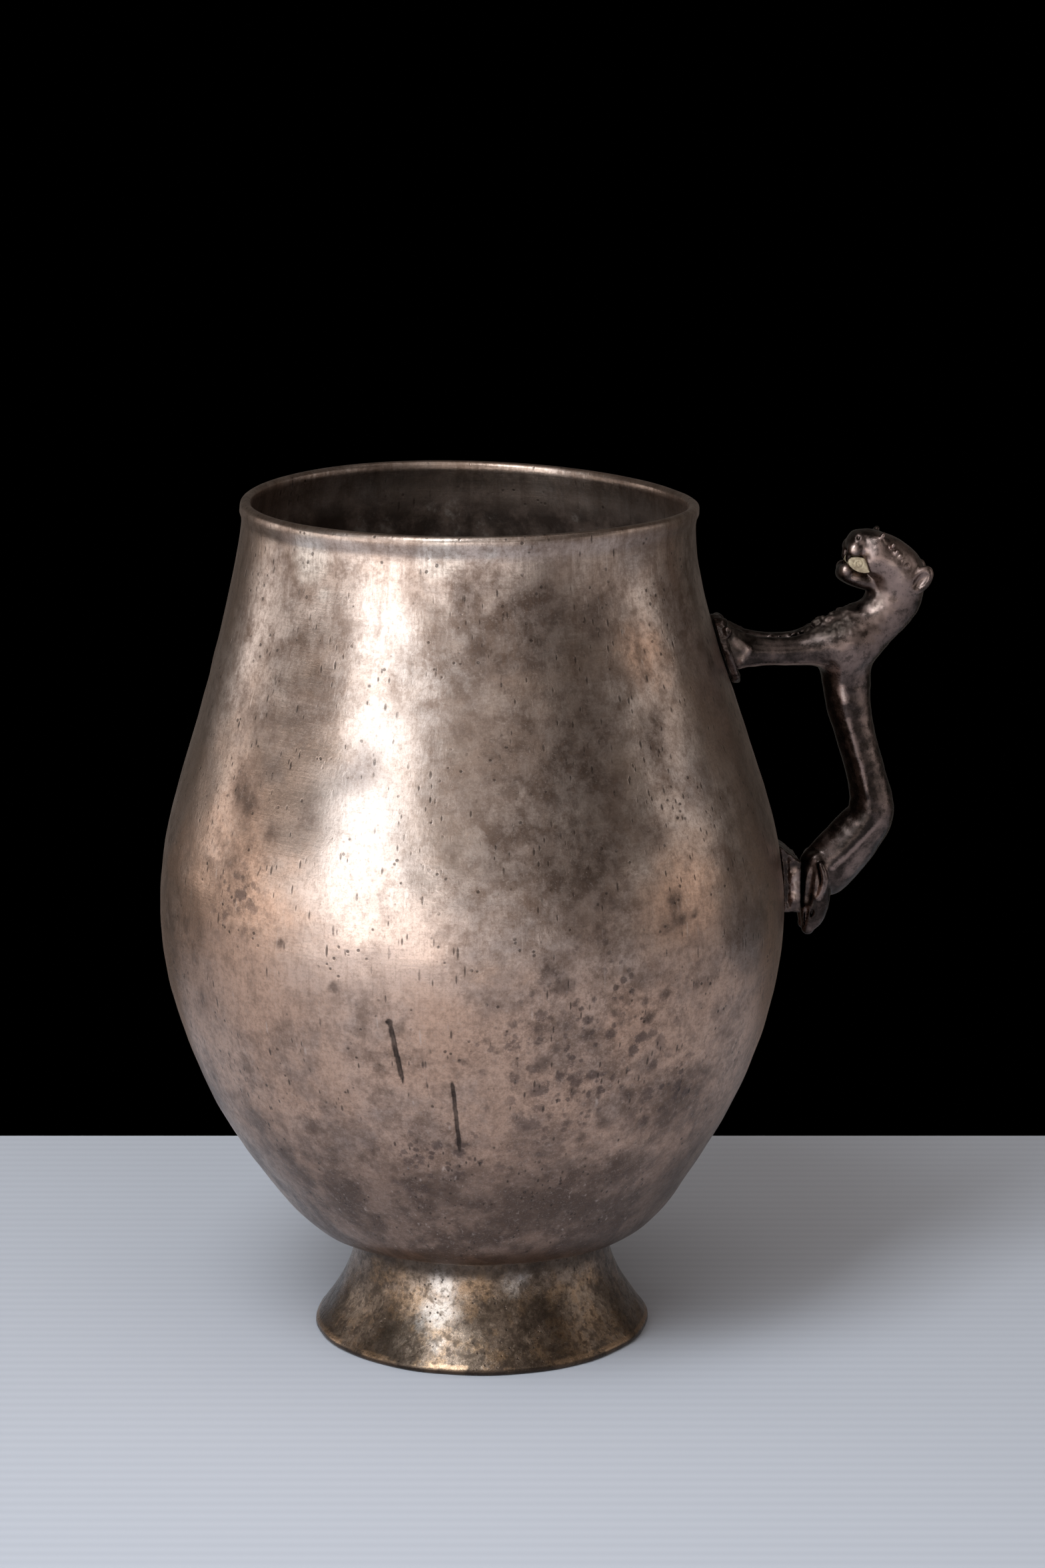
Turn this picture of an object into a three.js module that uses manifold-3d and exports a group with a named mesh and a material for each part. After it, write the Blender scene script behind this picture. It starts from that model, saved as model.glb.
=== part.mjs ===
// Raised silver jug on a flared foot, with a cast handle in the form of a feline.
// Millimetres, +Z up. The handle stands out along +X and the jug rests on Z = 0.
import * as THREE from 'three';
import { mergeVertices } from 'three/addons/utils/BufferGeometryUtils.js';
import Module from 'manifold-3d';

const wasm = await Module();
wasm.setup();

// Vessel
const rimHeight = 190;
const rimRadius = 49.6;
const bellyHeight = 98;
const bellyRadius = 69.6;
const wall = 1.2;
const bowlSag = 1.6;
const bowlRise = 1.8;
const bowlSpread = 1.318;
const lipThickness = 2.4;
const lipBead = 0.7;
const lipHeight = 3.6;

// Foot
const footHeight = 20;
const footRadius = 37.9;
const footTopRadius = 28.8;
const footWall = 1.6;
const footEdge = 1.4;

// Solder seams and the clearance left between pieces
const clearance = 0.3;
const seam = 0.7;
const seamProud = 0.5;

// Plates under the paws
const upperPlateHeight = 155;
const upperPlateTall = 15.2;
const upperPlateWide = 15;
const upperPlateThick = 2.4;
const lowerPlateHeight = 102.4;
const lowerPlateTall = 14.4;
const lowerPlateWide = 13;
const lowerPlateThick = 3.2;
const roomRoundPlate = 2;

// Forelegs and shoulders
const forelegLength = 29.2;
const forelegTall = 7.6;
const forelegWide = 6;
const forelegSpread = 6.2;
const pawLift = 0.2;
const chestDeep = 11.6;
const chestWide = 12;
const chestRise = 1.6;
const chestSetBack = 1.2;

// Body and hind legs
const bodyDeep = 9;
const bodyWide = 9.4;
const rumpReach = 20.8;
const rumpRise = 15.6;
const hindLegDeep = 11.4;
const hindLegWide = 6;
const hindLegSpread = 4.6;
const hockReach = 6.6;
const tipDrop = 12.6;
const tipWide = 6.2;
const tipLean = 0.6;

// Neck and head
const neckDeep = 13.4;
const neckWide = 10.6;
const headReach = 10.8;
const headRise = 20.1;
const headTilt = 24;
const headScale = 1;
const napeSetBack = 2;
const napeDrop = 6;
const inlayLong = 6.2;
const inlayWide = 7;
const inlayTall = 3.8;

// Smoothness of the round stretches
const turns = 64;
const wallSteps = 15;

const lerp = THREE.MathUtils.lerp;
const smooth = THREE.MathUtils.smoothstep;

function bowlRadius(z) {
  const t = THREE.MathUtils.clamp((z - footHeight) / (bellyHeight - footHeight), 0, 1);
  const share = Math.pow(1 - Math.pow(1 - t, bowlRise), 1 / bowlSpread);
  return lerp(footTopRadius, bellyRadius, share);
}

// Outer radius of the wall at a height, without the lip's bead
function wallRadius(z) {
  if (z < bellyHeight) return bowlRadius(z);
  return lerp(bellyRadius, rimRadius, smooth(z, bellyHeight, rimHeight));
}

// Steps that crowd together at the start, where the bowl curves most
function crowded(count, from, to, power) {
  const heights = [];
  for (let i = 0; i <= count; i += 1) {
    heights.push(lerp(from, to, Math.pow(i / count, power)));
  }
  return heights;
}

// Moves an outline sideways by a distance, to its left for a positive one
function offsetLine(points, distance) {
  return points.map((point, i) => {
    const before = points[Math.max(i - 1, 0)];
    const after = points[Math.min(i + 1, points.length - 1)];
    const along = after.clone().sub(before).normalize();
    return new THREE.Vector2(point.x - along.y * distance, point.y + along.x * distance);
  });
}

// The outer line of the bowl from near the axis up to the given height
function outerLine(top) {
  const points = [];
  for (const share of [0.35, 0.7]) {
    const radius = footTopRadius * share;
    points.push(new THREE.Vector2(radius, footHeight - bowlSag * (1 - share * share)));
  }
  for (const z of crowded(wallSteps, footHeight, top, 1.35)) {
    points.push(new THREE.Vector2(wallRadius(z), z));
  }
  return points;
}

function lathe(points) {
  return new THREE.LatheGeometry(points, turns).rotateX(Math.PI / 2);
}

function onAxis(z) {
  return new THREE.Vector2(0, z);
}

function makeVessel() {
  const shoulder = rimHeight - lipHeight;
  const outer = outerLine(shoulder);
  const inner = offsetLine(outer, wall).reverse();
  const lipOuter = wallRadius(rimHeight) + lipBead;
  const lipMiddle = lipOuter - lipThickness / 2;
  const lip = [];
  const lipSteps = 6;
  for (let i = 0; i <= lipSteps; i += 1) {
    const angle = (i / lipSteps) * Math.PI;
    const x = lipMiddle + (lipThickness / 2) * Math.cos(angle);
    const z = rimHeight - lipThickness / 2 + (lipThickness / 2) * Math.sin(angle);
    lip.push(new THREE.Vector2(x, z));
  }
  const floor = footHeight - bowlSag;
  const line = [onAxis(floor), ...outer, ...lip, ...inner, onAxis(floor + wall)];
  return lathe(line);
}

function footLine(top) {
  const points = [new THREE.Vector2(footRadius, 0)];
  const steps = 7;
  for (let i = 0; i <= steps; i += 1) {
    const z = lerp(footEdge, top, i / steps);
    const radius = lerp(footRadius, footTopRadius, smooth(z, footEdge, footHeight));
    points.push(new THREE.Vector2(radius, z));
  }
  return points;
}

function makeFoot() {
  const top = footHeight - 2 * clearance - seam;
  const outer = footLine(top);
  const inner = offsetLine(outer, footWall).reverse();
  inner[0].y = top;
  inner[inner.length - 1].y = 0;
  return lathe([...outer, ...inner, outer[0].clone()]);
}

function makeFootSolder() {
  const low = footHeight - clearance - seam;
  const high = footHeight - clearance;
  const inside = footTopRadius - footWall - seamProud;
  const outside = footTopRadius + seamProud;
  const drop = bowlSag * (1 - Math.pow(inside / footTopRadius, 2));
  const line = [
    new THREE.Vector2(inside, low - drop),
    new THREE.Vector2(footTopRadius - footWall, low - drop),
    new THREE.Vector2(outside, low),
    new THREE.Vector2(outside, high),
    new THREE.Vector2(inside, high - drop),
  ];
  return lathe([...line, line[0].clone()]);
}

// A closed three.js mesh as a solid that can be joined and cut
function solid(geometry) {
  const bare = geometry.clone();
  bare.deleteAttribute('normal');
  bare.deleteAttribute('uv');
  const merged = mergeVertices(bare, 1e-4);
  const vertProperties = new Float32Array(merged.attributes.position.array);
  const triVerts = new Uint32Array(merged.index.array);
  return new wasm.Manifold(new wasm.Mesh({ numProp: 3, vertProperties, triVerts }));
}

function geometryOf(body) {
  const mesh = body.getMesh();
  const geometry = new THREE.BufferGeometry();
  geometry.setAttribute('position', new THREE.BufferAttribute(mesh.vertProperties, 3));
  geometry.setIndex(new THREE.BufferAttribute(mesh.triVerts, 1));
  return geometry;
}

function joined(bodies) {
  return bodies.reduce((all, body) => all.add(body));
}

// An egg of three half sizes, turned in the handle's plane and then set in its place
function egg(x, y, z, long, wide, tall, tilt = 0, sides = 12, rings = 9) {
  const geometry = new THREE.SphereGeometry(1, sides, rings);
  geometry.scale(long, wide, tall);
  geometry.rotateY(THREE.MathUtils.degToRad(tilt));
  geometry.translate(x, y, z);
  return geometry;
}

// A limb with round ends along a smooth line of stations: place in x, y, z, then its
// full width across the handle and its full depth in the handle's plane
function limb(stations, sides, steps) {
  const line = new THREE.CatmullRomCurve3(stations.map((s) => new THREE.Vector3(s[0], s[1], s[2])));
  const girth = new THREE.CatmullRomCurve3(stations.map((s) => new THREE.Vector3(s[3], s[4], 0)));
  const ends = (stations[0][4] + stations[stations.length - 1][4]) / 4;
  const span = line.getLength() - 2 * ends;
  const geometry = new THREE.CapsuleGeometry(1, span / ends, 3, sides, steps);
  const half = span / ends / 2 + 1;
  const place = geometry.attributes.position;
  for (let i = 0; i < place.count; i += 1) {
    const t = THREE.MathUtils.clamp((half - place.getY(i)) / (2 * half), 0, 1);
    const size = girth.getPoint(t);
    const along = line.getTangent(t);
    const level = new THREE.Vector3(-along.z, 0, along.x).normalize();
    const point = line.getPoint(t);
    point.y += (place.getX(i) * size.x) / 2;
    point.addScaledVector(level, (place.getZ(i) * size.y) / 2);
    place.setXYZ(i, point.x, point.y, point.z);
  }
  return geometry;
}

// The space inside the wall grown outwards by a distance, which plates are cut back from
function wallSolid(distance) {
  const outer = offsetLine(outerLine(rimHeight), -distance);
  return solid(lathe([onAxis(footHeight), ...outer, onAxis(rimHeight)]));
}

// How steeply the wall leans in at a height, in degrees
function wallLean(z) {
  const step = 1;
  return THREE.MathUtils.radToDeg(Math.atan2(wallRadius(z - step) - wallRadius(z + step), 2 * step));
}

// From the wall outwards: a clearance, the solder, another clearance, then the plate
const layers = 2 * clearance + seam;
const solderBase = wallSolid(clearance);
const solderTop = wallSolid(clearance + seam);
const plateBase = wallSolid(layers);

// A rounded plate against the wall, its face standing square to the wall
function plateShape(height, tall, wide, thick) {
  const reach = layers + thick;
  const geometry = new THREE.CylinderGeometry(0.94, 1, 2, 28);
  geometry.rotateZ(-Math.PI / 2);
  geometry.scale(reach, wide / 2, tall / 2);
  geometry.rotateY(-THREE.MathUtils.degToRad(wallLean(height)));
  geometry.translate(wallRadius(height), 0, height);
  return solid(geometry);
}

function solderLayer(shape) {
  return shape.intersect(solderTop).subtract(solderBase);
}

const upperShape = plateShape(upperPlateHeight, upperPlateTall, upperPlateWide, upperPlateThick);
const lowerShape = plateShape(lowerPlateHeight, lowerPlateTall, lowerPlateWide, lowerPlateThick);
const upperPlate = upperShape.subtract(plateBase);
const lowerPlate = lowerShape.subtract(plateBase);

// Where the paws meet the plates, on the plates' outer faces
const upperFace = wallRadius(upperPlateHeight) + layers + upperPlateThick;
const lowerFace = wallRadius(lowerPlateHeight) + layers + lowerPlateThick;

// Shoulders, rump and hocks in the handle's plane
const shoulderX = upperFace + clearance + forelegLength - chestDeep / 2;
const shoulderZ = upperPlateHeight;
const rumpX = lowerFace + rumpReach - bodyDeep / 2;
const rumpZ = lowerPlateHeight + rumpRise;
const hockX = lowerFace + clearance + hockReach / 2;
const hockZ = lowerPlateHeight;
const skullX = shoulderX + headReach;
const skullZ = shoulderZ + headRise;

function makeForeleg(side) {
  const y = (side * forelegSpread) / 2;
  const paw = upperFace - clearance;
  const middle = lerp(paw, shoulderX, 0.5);
  const wide = forelegWide;
  const tall = forelegTall;
  return limb([
    [paw, y, shoulderZ + pawLift, wide * 1.05, tall * 1.12],
    [lerp(paw, middle, 0.5), y, shoulderZ, wide * 0.96, tall * 0.96],
    [middle, y, shoulderZ - pawLift, wide, tall],
    [shoulderX, y * 0.8, shoulderZ + pawLift, wide * 1.1, tall * 1.3],
  ], 12, 6);
}

function makeChest() {
  return limb([
    [shoulderX - chestDeep * 0.35, 0, shoulderZ + chestRise * 2, chestWide * 0.8, chestDeep * 0.6],
    [shoulderX, 0, shoulderZ + chestRise, chestWide, chestDeep * 1.1],
    [shoulderX + chestSetBack, 0, shoulderZ - chestDeep * 0.4, chestWide * 0.9, chestDeep * 0.9],
  ], 14, 5);
}

function makeBody() {
  return limb([
    [shoulderX + chestSetBack / 2, 0, shoulderZ, chestWide * 0.9, chestDeep * 0.9],
    [shoulderX + chestSetBack, 0, lerp(shoulderZ, rumpZ, 0.3), bodyWide, bodyDeep],
    [lerp(shoulderX, rumpX, 0.62), 0, lerp(shoulderZ, rumpZ, 0.65), bodyWide, bodyDeep],
    [rumpX, 0, rumpZ, bodyWide * 1.05, bodyDeep * 1.05],
    [lerp(rumpX, hockX, 0.25), 0, lerp(rumpZ, hockZ, 0.38), bodyWide, bodyDeep],
  ], 14, 12);
}

function makeHindLeg(side) {
  const y = (side * hindLegSpread) / 2;
  return limb([
    [rumpX, y * 0.8, rumpZ, hindLegWide, bodyDeep],
    [lerp(rumpX, hockX, 0.35), y, lerp(rumpZ, hockZ, 0.45), hindLegWide, hindLegDeep],
    [lerp(rumpX, hockX, 0.72), y, lerp(rumpZ, hockZ, 0.82), hindLegWide, hindLegDeep],
    [hockX, y, hockZ, hindLegWide, hockReach],
  ], 12, 7);
}

// The paws pressed together on the pad, drawn out to the pointed tip below it
function makeTip() {
  return limb([
    [hockX - tipLean, 0, hockZ + lowerPlateTall * 0.36, tipWide * 0.9, hockReach * 0.7],
    [hockX, 0, hockZ, tipWide * 1.4, hockReach],
    [hockX, 0, hockZ - tipDrop * 0.5, tipWide, hockReach * 0.72],
    [hockX - tipLean * 2, 0, hockZ - tipDrop, tipWide * 0.35, hockReach * 0.3],
  ], 12, 8);
}

function makeNeck() {
  return limb([
    [shoulderX + chestSetBack, 0, shoulderZ + chestRise, neckWide, neckDeep * 0.9],
    [lerp(shoulderX, skullX, 0.7), 0, lerp(shoulderZ, skullZ, 0.4), neckWide, neckDeep],
    [skullX + napeSetBack, 0, skullZ - napeDrop, neckWide, neckDeep],
    [skullX + napeSetBack, 0, skullZ - napeDrop / 3, neckWide * 0.9, neckDeep * 0.85],
  ], 12, 8);
}

// Parts of the head, placed from the middle of the skull along the head's own tilted axes:
// forward runs to the muzzle, up to the crown
const tilt = THREE.MathUtils.degToRad(headTilt);

function headPoint(forward, up) {
  const x = skullX + headScale * (-forward * Math.cos(tilt) + up * Math.sin(tilt));
  const z = skullZ + headScale * (forward * Math.sin(tilt) + up * Math.cos(tilt));
  return [x, z];
}

function headEgg(forward, side, up, long, wide, tall, lean = 0, sides = 12, rings = 9) {
  const [x, z] = headPoint(forward, up);
  const s = headScale;
  return egg(x, s * side, z, s * long, s * wide, s * tall, headTilt + lean, sides, rings);
}

function makeHead() {
  const bodies = [
    headEgg(-1.2, 0, -1.5, 8.2, 6.3, 6.3, 0, 16, 12),
    headEgg(6.8, 0, 0.7, 4.4, 4.3, 3.2, 0),
    headEgg(6.4, 0, -7.6, 4.4, 3.4, 1.8, -6),
    headEgg(1.2, 0, -5.6, 4.8, 4.8, 4.1, 0),
    headEgg(10, 0, 0.6, 1.5, 2.1, 1.6, 0, 10, 6),
  ];
  for (const side of [-1, 1]) {
    bodies.push(headEgg(3.4, side * 3.3, 2.6, 2.4, 1.8, 1.9, 0, 10, 6));
    bodies.push(headEgg(2.6, side * 4, -1.6, 3.4, 2.4, 2.6, 0, 10, 6));
    bodies.push(headEgg(-9.6, side * 4.4, -2.8, 2.3, 1.7, 3.3, 14, 10, 8));
  }
  return joined(bodies.map(solid));
}

// The pale block between the jaws, and the room that the jaws leave for it
function inlayShape(grow) {
  const long = inlayLong / 2 + grow;
  const wide = inlayWide / 2 + grow;
  const tall = inlayTall / 2 + grow;
  return solid(headEgg(6.3, 0, -4.1, long, wide, tall, 0, 14, 8));
}

const head = makeHead();
const limbs = [makeForeleg(-1), makeForeleg(1), makeHindLeg(-1), makeHindLeg(1)];
const trunk = [makeChest(), makeBody(), makeNeck(), makeTip()];
const inlay = inlayShape(0);
const mouthRoom = inlayShape(clearance);

// The room that a plate takes up, with space round its edge
function plateRoom(height, tall, wide, thick) {
  return plateShape(height, tall + roomRoundPlate, wide + roomRoundPlate, thick + clearance);
}

const keepOff = [
  wallSolid(layers + Math.min(upperPlateThick, lowerPlateThick) / 2),
  plateRoom(upperPlateHeight, upperPlateTall, upperPlateWide, upperPlateThick),
  plateRoom(lowerPlateHeight, lowerPlateTall, lowerPlateWide, lowerPlateThick),
];
let feline = joined([...trunk, ...limbs].map(solid)).add(head).subtract(mouthRoom);
for (const room of keepOff) feline = feline.subtract(room);

const silver = { color: 0x8f8378, roughness: 0.36, metalness: 1 };
const brownSilver = { color: 0x7d6e58, roughness: 0.45, metalness: 1 };
const darkSilver = { color: 0x4c423d, roughness: 0.4, metalness: 1 };
const solderGrey = { color: 0x6a625a, roughness: 0.6, metalness: 0.8 };
const paleInlay = { color: 0xa8926c, roughness: 0.6, metalness: 0.2 };

const jug = new THREE.Group();

function addPiece(name, geometry, finish) {
  geometry.computeVertexNormals();
  const mesh = new THREE.Mesh(geometry, new THREE.MeshStandardMaterial(finish));
  mesh.name = name;
  jug.add(mesh);
}

addPiece('vessel_body', makeVessel(), silver);
addPiece('foot', makeFoot(), brownSilver);
addPiece('foot_solder', makeFootSolder(), solderGrey);
addPiece('feline_handle', geometryOf(feline), darkSilver);
addPiece('mouth_inlay', geometryOf(inlay), paleInlay);
addPiece('upper_plate', geometryOf(upperPlate), darkSilver);
addPiece('upper_solder', geometryOf(solderLayer(upperShape)), solderGrey);
addPiece('lower_plate', geometryOf(lowerPlate), darkSilver);
addPiece('lower_solder', geometryOf(solderLayer(lowerShape)), solderGrey);

// The origin is the middle of the whole jug's box, at the height of what it stands on
const box = new THREE.Box3().setFromObject(jug);
const centre = box.getCenter(new THREE.Vector3());
jug.position.set(-centre.x, -centre.y, -box.min.z);
jug.updateMatrixWorld(true);

export default jug;
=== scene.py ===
import bpy
import numpy as np
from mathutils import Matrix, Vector


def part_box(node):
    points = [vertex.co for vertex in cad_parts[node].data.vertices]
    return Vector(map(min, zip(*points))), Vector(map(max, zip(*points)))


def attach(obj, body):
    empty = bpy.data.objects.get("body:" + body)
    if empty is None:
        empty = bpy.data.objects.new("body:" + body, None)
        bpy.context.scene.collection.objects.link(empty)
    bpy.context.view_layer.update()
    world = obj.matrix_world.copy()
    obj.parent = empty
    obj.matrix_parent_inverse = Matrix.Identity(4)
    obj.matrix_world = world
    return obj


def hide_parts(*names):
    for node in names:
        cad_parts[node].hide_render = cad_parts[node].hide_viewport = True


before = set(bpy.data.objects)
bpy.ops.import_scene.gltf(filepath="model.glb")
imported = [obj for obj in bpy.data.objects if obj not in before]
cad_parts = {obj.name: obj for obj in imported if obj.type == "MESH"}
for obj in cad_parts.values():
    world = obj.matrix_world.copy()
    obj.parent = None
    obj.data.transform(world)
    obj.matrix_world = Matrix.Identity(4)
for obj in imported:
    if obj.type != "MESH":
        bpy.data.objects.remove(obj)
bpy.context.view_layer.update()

# Shapes are worked out in millimetres from the vessel's axis, with the handle along +X,
# and come into the frame's metres when they are placed.
MM = 0.001
vessel_low, vessel_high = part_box("vessel_body")
AXIS_X = (vessel_low[0] + vessel_high[0]) / 2 / MM
RIM_HEIGHT = vessel_high[2] / MM

# Vessel
BELLY_HEIGHT = 98.0
BELLY_RADIUS = 69.6
RIM_RADIUS = 49.6
BOWL_BOTTOM = 20.0
JOINT_HEIGHT = 24.2
JOINT_RADIUS = 28.8
TURN_UNDER = 2.4
BOWL_SAG = 1.6
BOWL_ARC_UP = 1.8
BOWL_ARC_OUT = 1.318
LOW_SWELL = 0.9
LOW_SWELL_HEIGHT = 29.5
LOW_SWELL_REACH = 4.5
SHOULDER_HOLLOW = 0.5
HOLLOW_HEIGHT = 136.0
HOLLOW_REACH = 11.0
LEVEL_UP_TO = 150.0
AXIS_GAP = 0.3
WALL = 1.2
LIP_THICKNESS = 2.4
LIP_BEAD = 0.7
LIP_HEIGHT = 3.4

# Foot
FOOT_RADIUS = 37.9
FOOT_TOP = 22.8
FOOT_WALL = 1.6
FOOT_CHAMFER = 0.5
FLARE_START = 1.2
FLARE_HEIGHT = 19.0
FLARE_POWER = 1.75
FOOT_SEAM_DROP = 0.9

# Plates under the handle's paws and heels, and their seams
UPPER_PLATE_HEIGHT = 155.0
LOWER_PLATE_HEIGHT = 102.4
SEAM_BACK = 0.05
SEAM_FRONT = 1.0
SEAM_ROUGHNESS = 0.25

# The photograph's camera looks from six degrees off the handle's side
HANDLE_TURN = 6.0
TURN = np.radians(HANDLE_TURN)
CAMERA_LENS = 100.0
CAMERA_SENSOR = 36.0
CAMERA_DISTANCE = 943.2
CAMERA_HEIGHT = 345.0
CAMERA_SIDE = 10.6
CAMERA_PITCH = 13.11


def smoothstep(value, start, end):
    """Nought at the start, one at the end, and an S between them."""
    t = np.clip((value - start) / (end - start), 0.0, 1.0)
    return t * t * (3.0 - 2.0 * t)


def bell(value, centre, width):
    """A bell curve that is one at its centre."""
    return np.exp(-0.5 * ((value - centre) / width) ** 2)


def curve(points, t):
    """Catmull-Rom curve through the points, at shares t of the way from first to last."""
    points = np.asarray(points, float)
    if points.ndim == 1:
        points = points[:, None]
    ends = np.concatenate([[2 * points[0] - points[1]], points, [2 * points[-1] - points[-2]]])
    way = np.clip(t, 0.0, 1.0) * (len(points) - 1)
    index = np.minimum(way.astype(int), len(points) - 2)
    s = (way - index)[..., None]
    a, b, c, d = (ends[index + k] for k in range(4))
    cubic = (3 * b - a - 3 * c + d) * s ** 3
    return 0.5 * (2 * b + (c - a) * s + (2 * a - 5 * b + 4 * c - d) * s ** 2 + cubic)


def ripple(points, length, seed, waves=7):
    """Soft lumps between about -1 and 1: a sum of sine waves in seeded directions."""
    random = np.random.default_rng(seed)
    total = np.zeros(points.shape[:-1])
    for _ in range(waves):
        way = random.normal(size=3)
        way *= 2 * np.pi / (length * random.uniform(0.7, 1.5) * np.linalg.norm(way))
        total += np.sin(points @ way + random.uniform(0, 2 * np.pi))
    return total / np.sqrt(waves)


# How far the hand-raised vessel leans off its axis at each height
LEAN_HEIGHTS = (0.0, 20.0, 32.0, 52.0, 85.0, 115.0, 142.0, 158.0, 175.0, 190.0)
LEAN_SHIFTS = (1.3, 1.25, 0.7, 0.0, -0.5, -0.7, -1.1, -1.5, -1.7, -0.9)


def lean(z):
    """The vessel's shift towards the handle at a height, on a smooth line."""
    shares = np.linspace(0.0, 1.0, 400)
    return np.interp(z, curve(LEAN_HEIGHTS, shares)[:, 0], curve(LEAN_SHIFTS, shares)[:, 0])


def place(points):
    """Millimetres about the axis to the frame's metres, with the vessel's lean."""
    out = np.array(points, float)
    out[..., 0] += lean(out[..., 2]) + AXIS_X
    return out * MM


def about_axis(radius, angle, z):
    """Places at a radius and an angle about the vessel's axis."""
    return np.stack([radius * np.cos(angle), radius * np.sin(angle), z], -1)


def from_photo(right, away, up):
    """A place as the photograph's camera sees it about the axis, in the frame's metres."""
    x = right * np.cos(TURN) + away * np.sin(TURN)
    y = away * np.cos(TURN) - right * np.sin(TURN)
    return (AXIS_X + x) * MM, y * MM, up * MM


def bowl_radius(z):
    """A squared-off arc from the bottom up to the belly, a little fuller low down."""
    low = np.clip((z - BOWL_BOTTOM) / (BELLY_HEIGHT - BOWL_BOTTOM), 0.0, 1.0)
    share = (1 - (1 - low) ** BOWL_ARC_UP) ** (1 / BOWL_ARC_OUT)
    arc = JOINT_RADIUS + (BELLY_RADIUS - JOINT_RADIUS) * share
    return arc + LOW_SWELL * bell(z, LOW_SWELL_HEIGHT, LOW_SWELL_REACH)


def wall_radius(z):
    """Below the belly the bowl's arc, which turns under to the foot's joint at its lowest,
    and above it an S to the rim with a slight hollow in the shoulder."""
    z = np.asarray(z, float)
    under = np.clip((z - JOINT_HEIGHT) / TURN_UNDER, 0.0, 1.0)
    bowl = bowl_radius(z) - (bowl_radius(JOINT_HEIGHT) - JOINT_RADIUS) * (1 - under) ** 3
    high = BELLY_RADIUS + (RIM_RADIUS - BELLY_RADIUS) * smoothstep(z, BELLY_HEIGHT, RIM_HEIGHT)
    hollow = SHOULDER_HOLLOW * bell(z, HOLLOW_HEIGHT, HOLLOW_REACH)
    return np.where(z < BELLY_HEIGHT, bowl, high) - hollow


# Meshes from grids of points

def grid_triangles(rows, columns, wrap_rows=False):
    """Two triangles for each cell of a grid whose columns close on themselves."""
    last = rows if wrap_rows else rows - 1
    r, c = np.meshgrid(np.arange(last), np.arange(columns), indexing="ij")
    r2, c2 = (r + 1) % rows, (c + 1) % columns
    a, b, d, e = r * columns + c, r * columns + c2, r2 * columns + c, r2 * columns + c2
    first = np.stack([a, b, e], -1).reshape(-1, 3)
    second = np.stack([a, e, d], -1).reshape(-1, 3)
    return np.concatenate([first, second])


def tube(grid):
    """A grid of rings as a closed skin, with a point in the middle of each end."""
    rows, columns = grid.shape[:2]
    points = np.concatenate([grid.reshape(-1, 3), [grid[0].mean(0)], [grid[-1].mean(0)]])
    start, end = rows * columns, rows * columns + 1
    c = np.arange(columns)
    c2 = (c + 1) % columns
    base = (rows - 1) * columns
    cap_low = np.stack([np.full(columns, start), c2, c], -1)
    cap_high = np.stack([np.full(columns, end), base + c, base + c2], -1)
    return points, np.concatenate([grid_triangles(rows, columns), cap_low, cap_high])


def ring(grid):
    """A grid closed both ways, as a ring is."""
    return grid.reshape(-1, 3), grid_triangles(*grid.shape[:2], wrap_rows=True)


def outward(points, triangles):
    """The triangles, turned over if together they faced into the skin."""
    a, b, c = (points[triangles[:, k]] for k in range(3))
    volume = np.einsum("ij,ij->i", a, np.cross(b, c)).sum()
    return triangles if volume > 0 else triangles[:, ::-1]


def add_object(name, data):
    """An object for a mesh, lamp or camera, in the scene."""
    thing = bpy.data.objects.new(name, data)
    bpy.context.scene.collection.objects.link(thing)
    return thing


def add_piece(name, node, skin, material):
    """A visible piece: its skin in millimetres, the values that its material reads at each
    point, and the CAD node that it replaces."""
    points, triangles = skin[:2]
    points = place(points)
    mesh = bpy.data.meshes.new(name)
    mesh.from_pydata(points, [], outward(points, triangles))
    mesh.polygons.foreach_set("use_smooth", np.ones(len(mesh.polygons), bool))
    mesh.update()
    piece = add_object(name, mesh)
    for label, values in (skin[2] if len(skin) > 2 else {}).items():
        mesh.attributes.new(label, "FLOAT", "POINT").data.foreach_set("value", values)
    mesh.materials.append(material)
    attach(piece, "root")
    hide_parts(node)


# Marks

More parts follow.
